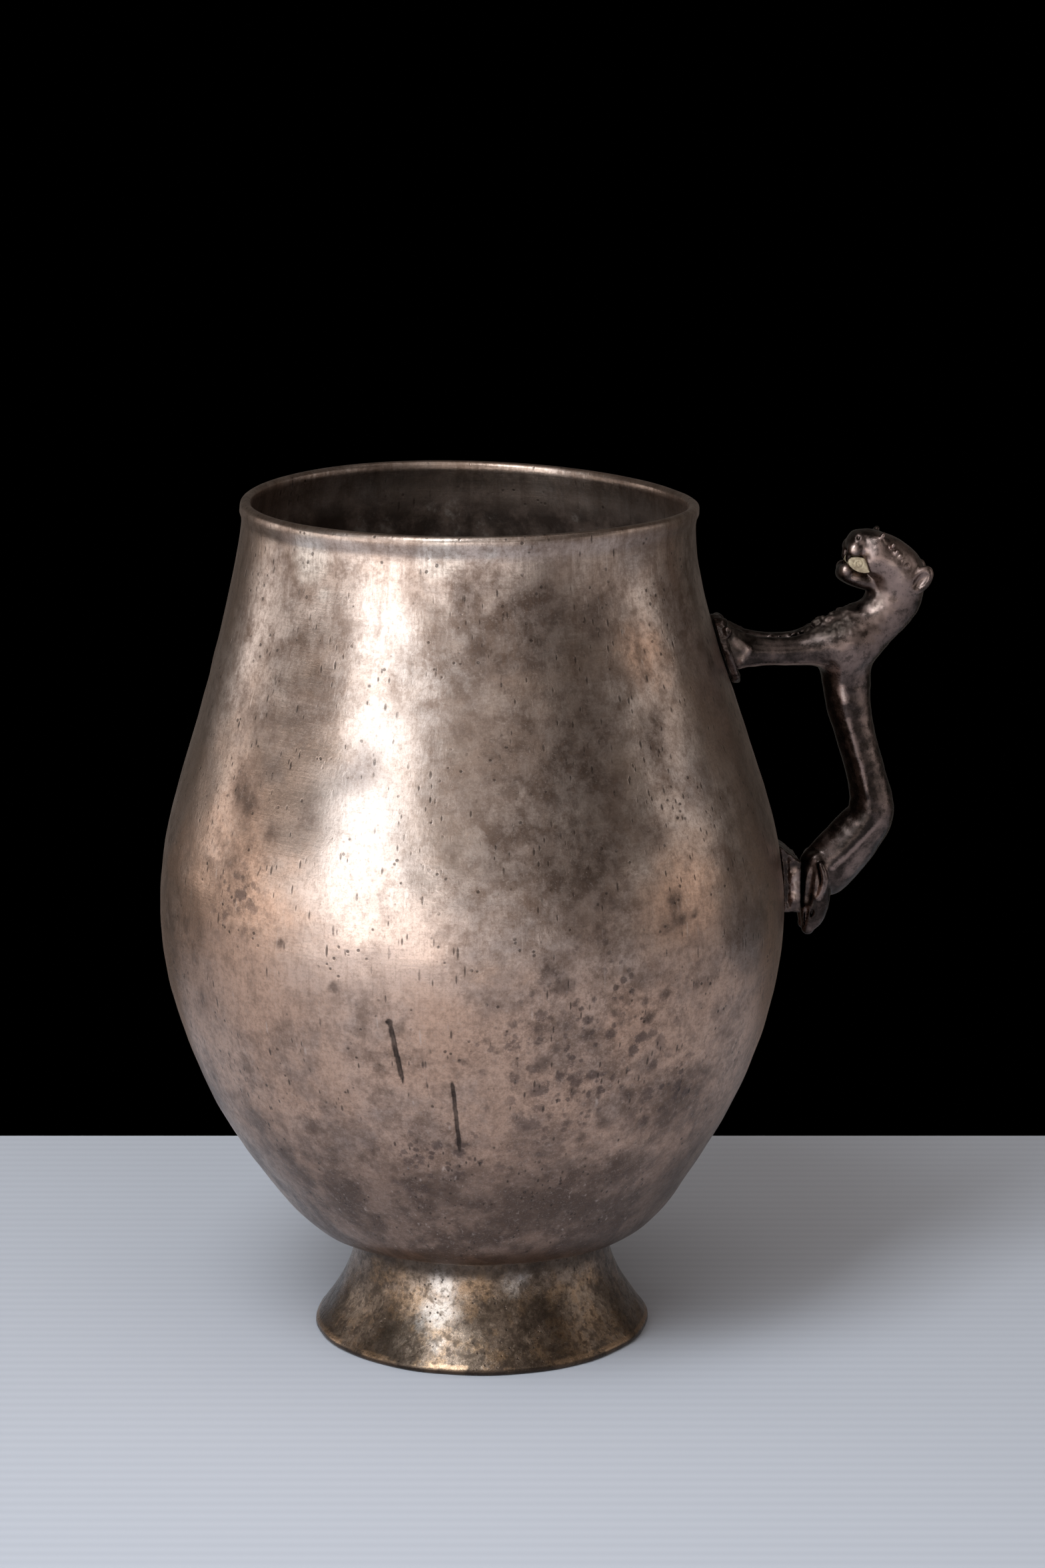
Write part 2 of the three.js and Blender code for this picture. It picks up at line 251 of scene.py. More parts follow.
# On the wall: angle in the photograph's frame, height, radius, strength
WALL_MARKS = {
    # Dark clouds
    "clouded": (
        (-75, 143, 21, 0.9), (-81, 130, 14, 0.9), (-70, 124, 16, 0.9), (-53, 127, 8, 0.85),
        (-76, 168, 19, 0.75), (-90, 176, 12, 0.5), (-56, 172, 11, 0.6), (-47, 146, 9, 0.7),
        (-62, 150, 12, 0.8), (-66, 106, 9, 0.6), (-128, 152, 12, 0.45), (-140, 132, 12, 0.5),
        (-129, 127, 6, 0.8), (-122, 131, 7, 0.6), (-138, 117, 7, 0.8), (-134, 104, 4, 0.5),
        (-52, 108, 5, 0.8), (20, 120, 24, 0.7), (-56, 70, 12, 0.7), (-44, 62, 20, 0.85), (-60, 48, 18, 0.8),
        (-72, 92, 7, 0.6), (-146, 88, 12, 0.6), (95, 140, 26, 0.7), (165, 100, 22, 0.7), (60, 80, 20, 0.6),
        (-160, 60, 18, 0.6),
    ),
    # Pink patches
    "pinked": (
        (-49, 112, 14, 0.9), (-138, 108, 30, 1), (-44, 164, 13, 0.8), (-98, 86, 20, 0.7),
        (-60, 88, 13, 0.7), (120, 110, 26, 0.7), (30, 150, 22, 0.6),
    ),
    # Violet veils
    "veiled": (
        (-84, 109, 17, 0.85), (-112, 141, 9, 0.7), (-45, 181, 10, 0.7), (-38, 134, 12, 0.8),
        (-30, 100, 16, 0.7), (-118, 60, 12, 0.5), (140, 150, 20, 0.7), (70, 110, 20, 0.7),
    ),
    # Pale smears
    "smeared": (
        (-131, 183.5, 6, 1), (-97, 185, 6, 0.9), (-84, 186, 3, 0.5), (-125, 176, 4, 0.4),
    ),
    # Clean places, paler and less mottled. Most lie along the key light's highlight, so they are partly a
    # painted highlight
    "cleaned": (
        (-108, 172, 17, 0.7), (-109, 150, 15, 0.8), (-112, 130, 19, 0.9), (-117, 114, 24, 1),
        (-100, 104, 18, 0.8), (100, 150, 24, 0.7),
    ),
    # Areas with grey spots
    "spotted": (
        (-68, 84, 30, 1), (-95, 58, 22, 0.8), (-122, 66, 20, 0.45), (-50, 72, 20, 0.8),
        (-136, 112, 20, 0.7), (30, 80, 34, 0.9), (120, 70, 30, 0.8),
    ),
    # Single spots
    "blotted": (
        (-76, 101, 2.6, 0.9), (-73.5, 97.5, 3, 1), (-77.5, 88, 3.2, 0.9), (-72.5, 88.5, 2.4, 0.8),
        (-74.5, 83.5, 2.4, 0.8), (-77, 80.5, 2.6, 1), (-69, 86, 2.6, 0.8), (-56.5, 88, 2, 1),
        (-62.5, 88, 2, 0.8), (-70.5, 73, 2.6, 0.8), (-67.5, 61, 2.4, 0.8), (-64, 64.5, 3.4, 0.7),
        (-59, 70.5, 2.2, 0.9), (-53.5, 92.5, 1.9, 1), (-46, 93, 2.4, 0.7), (-87, 70, 2.4, 0.6),
        (-91, 81, 2, 0.6), (-87.5, 86, 2.6, 0.5), (-64, 90.5, 1.9, 0.9), (-50.5, 112.5, 3.4, 0.9),
        (-50, 108, 2.6, 0.9), (-46.5, 108.5, 1.7, 1), (-101, 62, 3, 0.5), (-92, 52, 3.4, 0.6),
        (-107, 59, 2.8, 0.5), (-125, 104, 2, 0.9), (-114, 96.5, 2, 0.9), (-113, 93.5, 1.5, 0.7),
        (40, 90, 3.4, 0.8), (55, 70, 2.6, 0.8), (100, 84, 3, 0.8), (130, 64, 3.2, 0.7),
    ),
}

# Places on the foot that are made paler, in the same way: worn metal laid where the key light's highlight
# falls, so partly a painted highlight
FOOT_RUBBED_AND_HIGHLIT = (
    (-106, 18, 5.5, 0.8), (-107, 12, 7, 0.8), (-105, 6, 5, 0.5), (-74, 18, 5, 0.6),
)


def on_wall(photo_angle, height, skin=wall_radius):
    """A place on the wall, by its angle in the photograph's frame (-90 faces the camera)."""
    angle = np.radians(photo_angle - HANDLE_TURN)
    radius = float(skin(height))
    return radius * np.cos(angle), radius * np.sin(angle), height


def nearness(points, places, skin=wall_radius):
    """How near each point lies to the marks on a skin: the greatest value, over all of
    them, of a mark's strength less the distance to it in units of its radius."""
    nearest = np.full(len(points), -1.0)
    for angle, height, radius, strength in places:
        far = np.linalg.norm(points - on_wall(angle, height, skin), axis=1)
        nearest = np.maximum(nearest, strength - far / radius)
    return nearest


# Vessel

GOUGES = (
    # start angle, start height, end angle, end height, depth, half width
    (-110, 90, -108.2, 75, 0.42, 0.48),
    (-110.2, 90.6, -110, 89.4, 0.4, 0.7),
    (-99.3, 77.4, -98.3, 57.6, 0.4, 0.4),
    (-104.1, 77.7, -103.5, 71.5, 0.14, 0.22),
    (-105.6, 76.4, -103, 74.8, 0.1, 0.16),
)


def vessel_angles():
    """Angles round the vessel, close together where the gouges are cut."""
    fine = np.linspace(-113, -95, 90, endpoint=False)
    coarse = np.linspace(-95, 247, 190, endpoint=False)
    return np.radians(np.concatenate([fine, coarse]))


def rim_wave(angle):
    """The rim stands high at the back left and sags at the back right."""
    degrees = np.degrees(angle + TURN) % 360.0
    sag = bell(degrees, 22, 28) + bell(degrees, 382, 28)
    return bell(degrees, 122, 32) - 1.2 * sag - 0.35


def gouge_depth(angle, z):
    """Each gouge is a trench along a straight line on the wall, shallow at its ends."""
    depth = np.zeros(np.broadcast(angle, z).shape)
    for a0, z0, a1, z1, deep, half in GOUGES:
        radius = wall_radius((z0 + z1) / 2)
        x = np.degrees(angle) - a0
        across, along = np.radians(a1 - a0) * radius, z1 - z0
        length = np.hypot(across, along)
        px, pz = np.radians(x) * radius, z - z0
        share = (px * across + pz * along) / length ** 2
        wander = 0.05 * np.sin(z * 1.3 + a0)
        off = (px * along - pz * across) / length + wander + 0.03 * np.sin(z * 4.1)
        ends = smoothstep(share, 0, 0.12) * smoothstep(share, 1, 0.8)
        depth += deep * ends * np.exp(-((off / half) ** 2))
    return depth


def vessel_profile():
    """The outer wall from the axis out along the underside and up, the lip's half round,
    and the inner wall back down to the axis, each as its radii and its heights."""
    under = np.linspace(AXIS_GAP, JOINT_RADIUS, 14, endpoint=False)
    wall_top = RIM_HEIGHT - LIP_THICKNESS / 2
    wall_z = JOINT_HEIGHT + (wall_top - JOINT_HEIGHT) * np.linspace(0, 1, 190) ** 1.4
    lip_low = RIM_HEIGHT - LIP_HEIGHT
    bead = LIP_BEAD * smoothstep(wall_z, lip_low - 0.9, lip_low + 1.1)
    outer = np.concatenate([under, wall_radius(wall_z) + bead])
    outer_z = np.concatenate([JOINT_HEIGHT - BOWL_SAG * (1 - (under / JOINT_RADIUS) ** 2), wall_z])
    turn = np.linspace(0, np.pi, 13)[1:-1]
    lip = RIM_RADIUS + LIP_BEAD - LIP_THICKNESS / 2 + LIP_THICKNESS / 2 * np.cos(turn)
    lip_z = RIM_HEIGHT - LIP_THICKNESS / 2 * (1 - np.sin(turn))
    run, rise = np.gradient(outer), np.gradient(outer_z)
    tilt = np.hypot(run, rise)
    plain = outer - np.concatenate([np.zeros(len(under)), bead])
    inner = (plain - WALL * rise / tilt)[::2][::-1]
    inner_z = (outer_z + WALL * run / tilt)[::2][::-1]
    swell = (LIP_THICKNESS - WALL - LIP_BEAD) * smoothstep(inner_z, lip_low - 2, RIM_HEIGHT - 2)
    return (outer, outer_z), (lip, lip_z), (np.maximum(inner - swell, AXIS_GAP), inner_z)


def vessel_skin():
    """The profile turned about the axis, with hammered lumps, the gouges cut into its outer
    wall and the rim's wave."""
    profile = vessel_profile()
    radius, height = (np.concatenate(parts) for parts in zip(*profile))
    outer, lip = len(profile[0][0]), len(profile[1][0])
    angle = vessel_angles()
    r, a = np.meshgrid(radius, angle, indexing="ij")
    z = np.meshgrid(height, angle, indexing="ij")[0]
    even = about_axis(r, a, z)
    rise = smoothstep(z, LEVEL_UP_TO, RIM_HEIGHT)
    lumps = (0.13 * ripple(even, 26, 3) + 0.05 * ripple(even, 9, 4)) * (1.0 - 0.4 * rise)
    trench = gouge_depth(a, z)
    trench[outer:] = 0.0
    r = r + lumps * smoothstep(r, 6, 26) - trench
    z = z + rim_wave(a) * rise ** 1.5
    points, triangles = tube(about_axis(r, a, z))
    inward = smoothstep(np.arange(len(radius)), outer + lip, outer + lip + 4)
    marks = {name: nearness(points, places) for name, places in WALL_MARKS.items()}
    marks["scored"] = np.concatenate([trench.ravel() / trench.max(), [0, 0]])
    marks["inside"] = np.concatenate([np.repeat(inward, len(angle)), [0, 1]])
    return points, triangles, marks


# Foot and its seam

def foot_radius(z):
    """Upright below the joint, then a flare that opens more and more down to the edge."""
    share = np.clip((z - FLARE_START) / FLARE_HEIGHT, 0, 1)
    return JOINT_RADIUS + (FOOT_RADIUS - JOINT_RADIUS) * (1 - share) ** FLARE_POWER


def foot_skin():
    """A closed profile turned about the axis, its flare hammered a little uneven."""
    z = np.linspace(FOOT_CHAMFER, FOOT_TOP, 60)
    outer = foot_radius(z)
    inner = outer[::-1] - FOOT_WALL
    edge, top = FOOT_RADIUS - FOOT_CHAMFER, outer[-1] - FOOT_CHAMFER
    radius = np.concatenate([[edge], outer, [top], inner[1:], [FOOT_RADIUS - 1.3]])
    height = np.concatenate([[0], z, [FOOT_TOP + 0.3], z[::-1][1:], [0]])
    angle = np.linspace(-np.pi, np.pi, 320, endpoint=False)
    r, a = np.meshgrid(radius, angle, indexing="ij")
    z = np.meshgrid(height, angle, indexing="ij")[0]
    even = about_axis(r, a, z)
    fade = smoothstep(z, FOOT_TOP + 1, FOOT_TOP - 5)
    r = r + (0.14 * ripple(even, 17, 11, 12) + 0.03 * ripple(even, 5, 12, 16)) * fade
    z = z + 0.12 * ripple(even, 12, 13) * smoothstep(z, 1.5, 4) * fade
    points, triangles = ring(about_axis(r, a, z))
    return points, triangles, {"rubbed": nearness(points, FOOT_RUBBED_AND_HIGHLIT, foot_radius)}


def foot_seam_skin():
    """An uneven bead of solder round the joint between foot and bowl."""
    angle = np.linspace(-np.pi, np.pi, 360, endpoint=False)
    turn = np.linspace(0, 2 * np.pi, 14, endpoint=False)
    a, t = np.meshgrid(angle, turn, indexing="ij")
    joint = about_axis(JOINT_RADIUS, a, 0 * a)
    girth = 0.75 + 0.2 * ripple(joint, 9, 21) + 0.12 * ripple(joint, 2.6, 22)
    r = JOINT_RADIUS - 0.35 + girth * 0.8 * np.cos(t)
    z = JOINT_HEIGHT - FOOT_SEAM_DROP + 0.1 * ripple(joint, 14, 23) + girth * 0.75 * np.sin(t)
    return ring(about_axis(r, a, z))


# Handle

CLAY_STEP = 0.3
INLAY_STEP = 0.2
HEAD_TILT = 24.0
TILT_COS, TILT_SIN = np.cos(np.radians(HEAD_TILT)), np.sin(np.radians(HEAD_TILT))
SKULL = np.array([94.3, 0, 175.1])
FORWARD = np.array([-TILT_COS, 0, TILT_SIN])
UP = np.array([TILT_SIN, 0, TILT_COS])


def on_head(forward, side, up):
    """A place by its distances from the middle of the skull."""
    return SKULL + FORWARD * forward + UP * up + np.array([0, side, 0])


class Clay:
    """Modelling clay: a box of evenly spaced places, each with its distance from the skin,
    negative inside. A shape is its distances in a window of the box, and is added or cut
    with a fillet of a given reach."""

    MARGIN = 3.0

    def __init__(self, low, high, step):
        self.low, self.step = np.array(low, float), step
        self.count = np.ceil((np.array(high) - self.low) / step).astype(int) + 1
        self.field = np.full(self.count, 50.0)

    def window(self, low, high):
        """The part of the box between two corners, with a margin: its slices and places."""
        first = np.floor((np.array(low) - self.MARGIN - self.low) / self.step).astype(int)
        last = np.ceil((np.array(high) + self.MARGIN - self.low) / self.step).astype(int) + 1
        first, last = np.clip(first, 0, self.count), np.clip(last, 0, self.count)
        x, y, z = (self.low[k] + self.step * np.arange(first[k], last[k]) for k in range(3))
        cut = tuple(slice(first[k], last[k]) for k in range(3))
        return cut, x[:, None, None], y[None, :, None], z[None, None, :]

    def whole(self):
        """The window that takes in the whole box."""
        return self.window(self.low, self.low + self.count * self.step)

    def add(self, shape, reach):
        """The nearer of the two distances, less a cubic share where they are alike."""
        cut, far = shape
        field = self.field[cut]
        near = np.maximum(reach - np.abs(field - far), 0) / reach
        self.field[cut] = np.minimum(field, far) - near ** 3 * (reach / 6)

    def cut(self, shape, reach):
        """Take a shape away: it is added to the clay's outside, with the signs turned."""
        self.field = -self.field
        self.add(shape, reach)
        self.field = -self.field

    def limb(self, path, wide, deep, side=0.0, power=2.0, front=None):
        """A limb along a smooth line in the handle's plane. Its sections are ellipses, or
        squarer above power 2 and pointed below it: half widths across the handle, half
        depths in its plane, with other half depths on the front where they are given."""
        line = curve(path, np.linspace(0, 1, 90))
        round_it = max(deep)
        low = (line[:, 0].min() - round_it, side - max(wide), line[:, 1].min() - round_it)
        high = (line[:, 0].max() + round_it, side + max(wide), line[:, 1].max() + round_it)
        cut, x, y, z = self.window(low, high)
        start, run = line[:-1], np.diff(line, axis=0)
        px, pz = x - start[:, 0], z.reshape(1, -1, 1) - start[:, 1]
        share = np.clip((px * run[:, 0] + pz * run[:, 1]) / (run ** 2).sum(1), 0, 1)
        off_x, off_z = px - share * run[:, 0], pz - share * run[:, 1]
        far = np.hypot(off_x, off_z)
        best = far.argmin(-1)[..., None]
        along = (best + np.take_along_axis(share, best, -1))[..., 0] / len(run)
        off = np.take_along_axis(far, best, -1)[..., 0]
        turned = np.take_along_axis(run[:, 0] * off_z - run[:, 1] * off_x, best, -1)[..., 0]
        w, h = curve(wide, along)[..., 0], curve(deep, along)[..., 0]
        if front is not None:
            h = np.where(turned > 0, h, curve(front, along)[..., 0])
        w, h, off = w[:, None], h[:, None], off[:, None]
        q = (np.abs(y - side) / w) ** power + (off / h) ** power
        return cut, (q ** (1 / power) - 1) * np.minimum(w, h)

    def egg(self, centre, size, tilt=0.0):
        """A ball of three half sizes about a centre, turned by tilt in the handle's plane."""
        t, longest = np.radians(tilt), max(size)
        cut, x, y, z = self.window(np.subtract(centre, longest), np.add(centre, longest))
        x, y, z = x - centre[0], y - centre[1], z - centre[2]
        u, v, w = x * np.cos(t) - z * np.sin(t), y, z * np.cos(t) + x * np.sin(t)
        near = np.sqrt((u / size[0]) ** 2 + (v / size[1]) ** 2 + (w / size[2]) ** 2)
        slope = np.sqrt((u / size[0] ** 2) ** 2 + (v / size[1] ** 2) ** 2 + (w / size[2] ** 2) ** 2)
        return cut, near * (near - 1) / np.maximum(slope, 1e-6)

    def head_egg(self, forward, side, up, size, nod=0.0):
        """A ball placed and turned with the head, and nodded further where it is asked."""
        return self.egg(on_head(forward, side, up), size, HEAD_TILT + nod)

    def rod(self, start, end, thick_start, thick_end):
        """A round rod between two points, tapering from one radius to the other."""
        start, end, thick = np.array(start, float), np.array(end, float), max(thick_start, thick_end)
        cut, x, y, z = self.window(np.minimum(start, end) - thick, np.maximum(start, end) + thick)
        run = end - start
        x, y, z = x - start[0], y - start[1], z - start[2]
        share = np.clip((x * run[0] + y * run[1] + z * run[2]) / (run @ run), 0, 1)
        far = np.sqrt((x - share * run[0]) ** 2 + (y - share * run[1]) ** 2 + (z - share * run[2]) ** 2)
        return cut, far - thick_start - (thick_end - thick_start) * share

    def off_wall(self):
        """Distance from the vessel's wall, outwards, in the whole box."""
        _, x, y, z = self.whole()
        slope = wall_radius(z + 0.5) - wall_radius(z - 0.5)
        return (np.hypot(x, y) - wall_radius(z)) / np.hypot(1, slope)

    def skin(self):
        """The surface where the distance is zero, as points, triangles and outward normals.
        Each cell that it crosses gets one point, the mean of the crossings on the cell's
        edges, and each crossed edge joins the four cells round it. The points are then
        moved onto the surface along the field's slope."""
        field = self.field
        cells = tuple(n - 1 for n in field.shape)
        total = np.zeros(cells + (3,))
        hits = np.zeros(cells)
        quads = []
        for axis in range(3):
            ahead = np.roll(field, -1, axis)
            crossed = (field < 0) != (ahead < 0)
            crossed.swapaxes(0, axis)[-1] = False
            edge = np.argwhere(crossed)
            here, there = field[crossed], ahead[crossed]
            spot = edge.astype(float)
            spot[:, axis] += here / (here - there)
            u, v = np.eye(3, dtype=int)[[(axis + 1) % 3, (axis + 2) % 3]]
            round_edge = [edge - u - v, edge - v, edge, edge - u]
            for cell in round_edge:
                np.add.at(total, tuple(cell.T), spot)
                np.add.at(hits, tuple(cell.T), 1)
            four = np.stack([np.ravel_multi_index(tuple(cell.T), cells) for cell in round_edge], 1)
            quads.append(np.where((here < 0)[:, None], four, four[:, ::-1]))
        used = np.flatnonzero(hits.ravel())
        number = np.zeros(hits.size, int)
        number[used] = np.arange(len(used))
        quads = number[np.concatenate(quads)]
        points = total.reshape(-1, 3)[used] / hits.ravel()[used][:, None]
        layers = np.stack([field, *np.gradient(field)], -1)
        for _ in range(3):
            found = self.between(layers, points)
            value, slope = found[:, 0], found[:, 1:]
            points = points - 0.8 * np.clip(value / (slope ** 2).sum(1), -0.6, 0.6)[:, None] * slope
        slope = self.between(layers, points)[:, 1:]
        normals = slope / np.linalg.norm(slope, axis=1)[:, None]
        triangles = np.concatenate([quads[:, [0, 1, 2]], quads[:, [0, 2, 3]]])
        return self.low + points * self.step, triangles, normals

    @staticmethod
    def between(layers, points):
        """The layers at points between the places, shared out evenly along each axis."""
        base = np.clip(points, 0, np.array(layers.shape[:3]) - 1.001).astype(int)
        part = points - base
        total = 0.0
        for corner in np.ndindex(2, 2, 2):
            weight = np.where(corner, part, 1 - part).prod(1)
            total = total + weight[:, None] * layers[tuple((base + corner).T)]
        return total


def near_line(points, path):
    """Distance of each point from a place, or from a line of straight runs."""
    path = np.asarray(path, float)
    nearest = np.linalg.norm(points - path[0], axis=1)
    for start, end in zip(path[:-1], path[1:]):
        run = end - start
        share = np.clip((points - start) @ run / (run @ run), 0, 1)
        nearest = np.minimum(nearest, np.linalg.norm(points - start - share[:, None] * run, axis=1))
    return nearest


def worked(points, normals, path, width, height):
    """The skin pushed out, or in for a negative height, along a soft line or at a place."""
    far = near_line(points, path) / width
    return points + normals * (height * np.exp(-(far ** 2)))[:, None]


def rubbed(points, strokes):
    """How pale the metal is made, by wear and by painted highlights: the strongest of soft
    strokes, each given as its line of x, y, z places for the near side, its width and its
    strength. Both sides are alike."""
    folded = points * (1, 0, 1) - np.abs(points) * (0, 1, 0)
    worn = np.zeros(len(points))
    for path, width, strength in strokes:
        worn = np.maximum(worn, strength * np.exp(-(near_line(folded, path) / width) ** 2))
    return worn


def mould_limbs(clay):
    """Torso and hind leg with a ridge along each flank, neck, chest, forelegs and heels."""
    ridge = [
        (83, 155), (83, 150), (83.1, 145.2), (83.8, 141), (84.8, 136.5), (86, 132), (87.4, 127.5),
        (88.3, 123.2), (89, 119.6), (88.7, 116.2), (86.1, 112.3), (82.8, 108.3), (79.6, 104.8),
    ]
    wide = (5.6, 5.2, 4.9, 4.8, 4.7, 4.7, 4.7, 4.8, 5, 5.2, 5.2, 5.1, 4.6)
    back = (7.3, 7, 6.9, 6.3, 5.8, 5.6, 5.4, 5.7, 6.1, 6.6, 7, 7.3, 7.3)
    inner = (4.9, 4.4, 3.8, 3.7, 3.3, 3.2, 3.3, 3.3, 3.7, 4.3, 5, 5.4, 5.4)
    clay.add(clay.limb(ridge, wide, back, power=1.55, front=inner), 1)
    neck = [(81.5, 156), (87, 158), (92.3, 161.6), (95.4, 166), (96.2, 170)]
    clay.add(clay.limb(neck, (5.8, 6.2, 5.4, 5.3, 5.4), (4.2, 5.8, 5.6, 6.1, 6), power=2.1), 5)
    clay.add(clay.egg((84.6, 0, 155.8), (7.4, 6.5, 5.7), -12), 4)
    arm = [
        (57.9, 155.6), (60, 155.2), (62.6, 154.9), (66, 154.7), (70, 154.6), (74, 154.8),
        (79, 155.4), (84, 156),
    ]
    arm_wide = (3.5, 3.4, 3, 2.9, 2.9, 3, 3.4, 3.8)
    arm_deep = (4.9, 4.3, 3.6, 3.2, 3.1, 3.4, 4.2, 5)
    arms = Clay(clay.low, clay.low + (clay.count - 1) * clay.step, clay.step)
    for side in (-1, 1):
        arms.add(arms.limb(arm, arm_wide, arm_deep, side * 3.05, 1.85), 0.9)
    arms.field = np.maximum(arms.field, 1.4 - arms.off_wall())
    clay.add((..., arms.field), 4)
    clay.add(clay.egg((76.2, 0, 101.4), (2.4, 4.6, 6)), 2)
    heel = [(77.3, 106.4), (77.4, 103), (77.3, 99.4), (77, 96), (76.3, 92.9), (75.6, 90.9)]
    heel_wide, heel_deep = (2, 2.5, 2.7, 2.6, 2.1, 1.4), (2, 2.8, 3.3, 3.2, 2.5, 1.5)
    crescent = [(77.9, 106), (78.5, 104.1), (78.7, 102.3), (78.2, 100.1), (77.2, 98.2)]
    crescent_wide, crescent_deep = (1.1, 1.5, 1.5, 1.2, 0.8), (0.7, 1, 1.05, 0.9, 0.5)
    for side in (-1, 1):
        clay.add(clay.limb(heel, heel_wide, heel_deep, side * 2.4, 2.2), 1.4)
        clay.cut(clay.rod((75.7, side * 5.7, 106.2), (74.9, side * 5.1, 97.6), 1.5, 1), 0.9)
        clay.add(clay.limb(crescent, crescent_wide, crescent_deep, side * 4.6), 0.5)
        clay.cut(clay.rod((74.9, side * 4.4, 95.6), (74.8, side * 2.8, 91.4), 0.45, 0.35), 0.4)
        clay.cut(clay.rod((76.2, side * 4.8, 95.4), (75.8, side * 3.6, 92.6), 0.35, 0.25), 0.4)


# Balls that make up the head: forward, side, up, half sizes, nod, fillet. First the skull,
# its lower back, the muzzle, the nose, the jaw and the chin, which lie in the middle.
HEAD_MIDDLE = (
    (-0.3, 0, -1.2, (7.9, 6.2, 5.3), 10, 3),
    (-4.2, 0, -3.3, (4.6, 5.8, 4.5), 0, 2),
    (5.3, 0, 0.3, (4.4, 4.5, 3.5), -2, 2.6),
    (8.3, 0, -0.2, (2.2, 3.8, 2.8), 0, 1.6),
    (4.2, 0, -7.4, (5.2, 3.5, 2), -8, 2),
    (8, 0, -7.2, (1.7, 3.1, 1.7), 0, 1.5),
)
# Then upper lips, lower lips, fangs, brows, cheeks and ears, one on each side
HEAD_PAIRS = (
    (8.4, 2.8, -1.5, (1.6, 1.5, 1.4), 0, 1.2),
    (8.1, 2.2, -6.3, (1.3, 1.3, 1.1), 0, 1),
    (9, 2.3, -3.4, (0.75, 0.9, 1.5), -14, 0.7),
    (4.6, 3, 2, (2, 1.8, 1.5), 0, 1.8),
    (3.4, 4.2, -1.4, (1.9, 1.5, 3), 0, 2.4),
    (-7.5, 4.4, -1.9, (2.4, 1.9, 3.7), 16, 1.2),
)
# Where the tufts lie: forward, up
TUFTS = ((1.7, 2.7), (0.3, 1.7), (-0.8, 1.2), (-1.9, 0.4), (-3.1, -0.2))


def mould_head(clay):
    """The balls of the head's middle, the open mouth, then the pairs, with a hollow cut in
    each ear, a row of tufts down each side of the head and a small knob on each brow."""
    for forward, side, up, size, nod, fillet in HEAD_MIDDLE:
        clay.add(clay.head_egg(forward, side, up, size, nod), fillet)
    clay.cut(clay.head_egg(7, 0, -4.1, (4.1, 8, 1.6), -3), 0.9)
    for side in (-1, 1):
        for forward, out, up, size, nod, fillet in HEAD_PAIRS:
            clay.add(clay.head_egg(forward, side * out, up, size, nod), fillet)
        clay.cut(clay.head_egg(-7.3, side * 6.6, -1.9, (1.5, 1.6, 2.7), 16), 0.7)
        for forward, up in TUFTS:
            clay.add(clay.head_egg(forward, side * 5.2, up, (0.5, 0.8, 0.8), 10), 0.45)
        clay.add(clay.head_egg(4.6, side * 4, 3.6, (0.6, 0.8, 1), 10), 0.6)


def crust(clay):
    """Broken lumps along the top of the forelegs and up the chest, in seeded places."""
    random = np.random.default_rng(5)
    top = [(66, 158), (70, 157.8), (74, 158.4), (77, 160.3), (80, 162.2), (84, 163), (87.6, 164)]
    for share in np.linspace(0, 1, 44):
        x, z = curve(top, np.array([share]))[0]
        size = random.uniform(0.3, 0.65, 3) * (0.6 + 0.6 * share * (1.3 - share) * 2.4)
        side = random.uniform(-4.4, 4.4)
        drop = 0.1 * side ** 2
        clay.add(clay.egg((x, side, z - 0.4 - drop), size * (1.5, 1.2, 1), random.uniform(-40, 40)), 0.9)


# Where the feline's metal is made paler, partly by wear and partly as painted highlights on
# its ridges, face and ear: lines on its near side, width, strength
FELINE_WEAR_AND_HIGHLIGHTS = (
    ([(95.5, -5, 174)], 9.5, 0.82),
    ([(85.4, -3.9, 177.5)], 1.3, 1.25),
    ([(83.6, -2.9, 172.6)], 1.3, 1.25),
    ([(92, -4.8, 180.2), (92.3, -4.9, 178.8)], 0.7, 1.1),
    ([(91.7, -5.2, 176.6), (92, -5.2, 174.6)], 0.7, 0.8),
    ([(95.5, -5, 168), (90, -6, 160), (84.5, -6.4, 155)], 6.5, 0.62),
    ([(58, -4, 151.3), (66, -4, 151.6), (74, -4.6, 151.8), (82, -5, 151)], 1.3, 0.95),
    ([(59, -6.4, 157.6), (61.2, -6.2, 155.8), (59.4, -6.4, 152.4)], 1.2, 1),
    ([(82.6, -5, 146), (83.2, -5, 143.6)], 1.2, 1),
    ([(84.2, -4.8, 139), (85.8, -4.8, 133.5), (87.2, -4.8, 128.5), (88.4, -4.9, 122.5)], 0.9, 0.6),
    ([(87, -3.6, 150), (89.6, -3.6, 136), (93, -3.8, 124), (93.4, -3.8, 117), (85, -4, 103.5)], 3, 0.5),
    ([(92.6, -4.4, 116.6), (87, -4.8, 111), (80.8, -4.8, 105)], 0.8, 0.75),
    ([(78.6, -4.8, 105.2), (79, -5.2, 102.3), (77.6, -4.8, 98.6)], 1, 1),
    ([(75.4, -3.8, 96), (75.6, -3, 91)], 1.3, 0.5),
    ([(102.6, -4.6, 172.8), (103.4, -4.6, 169.6)], 1.3, 1),
    ([(88.5, -4.4, 176.4)], 1.6, 1),
    ([(86.2, -3, 171.6)], 1.5, 1),
    ([(91, -5, 168.4)], 1.8, 1),
    ([(89.8, -4.4, 163.6), (91.6, -4.6, 165.6)], 1.6, 0.9),
    ([(80, -3, 161.4), (85, -3.4, 162.6)], 1.8, 0.6),
)
PLATE_WEAR = (([(57.2, -6, 161), (58.6, -5, 158.6)], 1, 0.6), ([(58.8, -6.6, 150)], 1.2, 0.9))
PAD_WEAR = (([(71.9, -5.6, 104.6), (72.1, -5.6, 98.8)], 1.1, 1),)


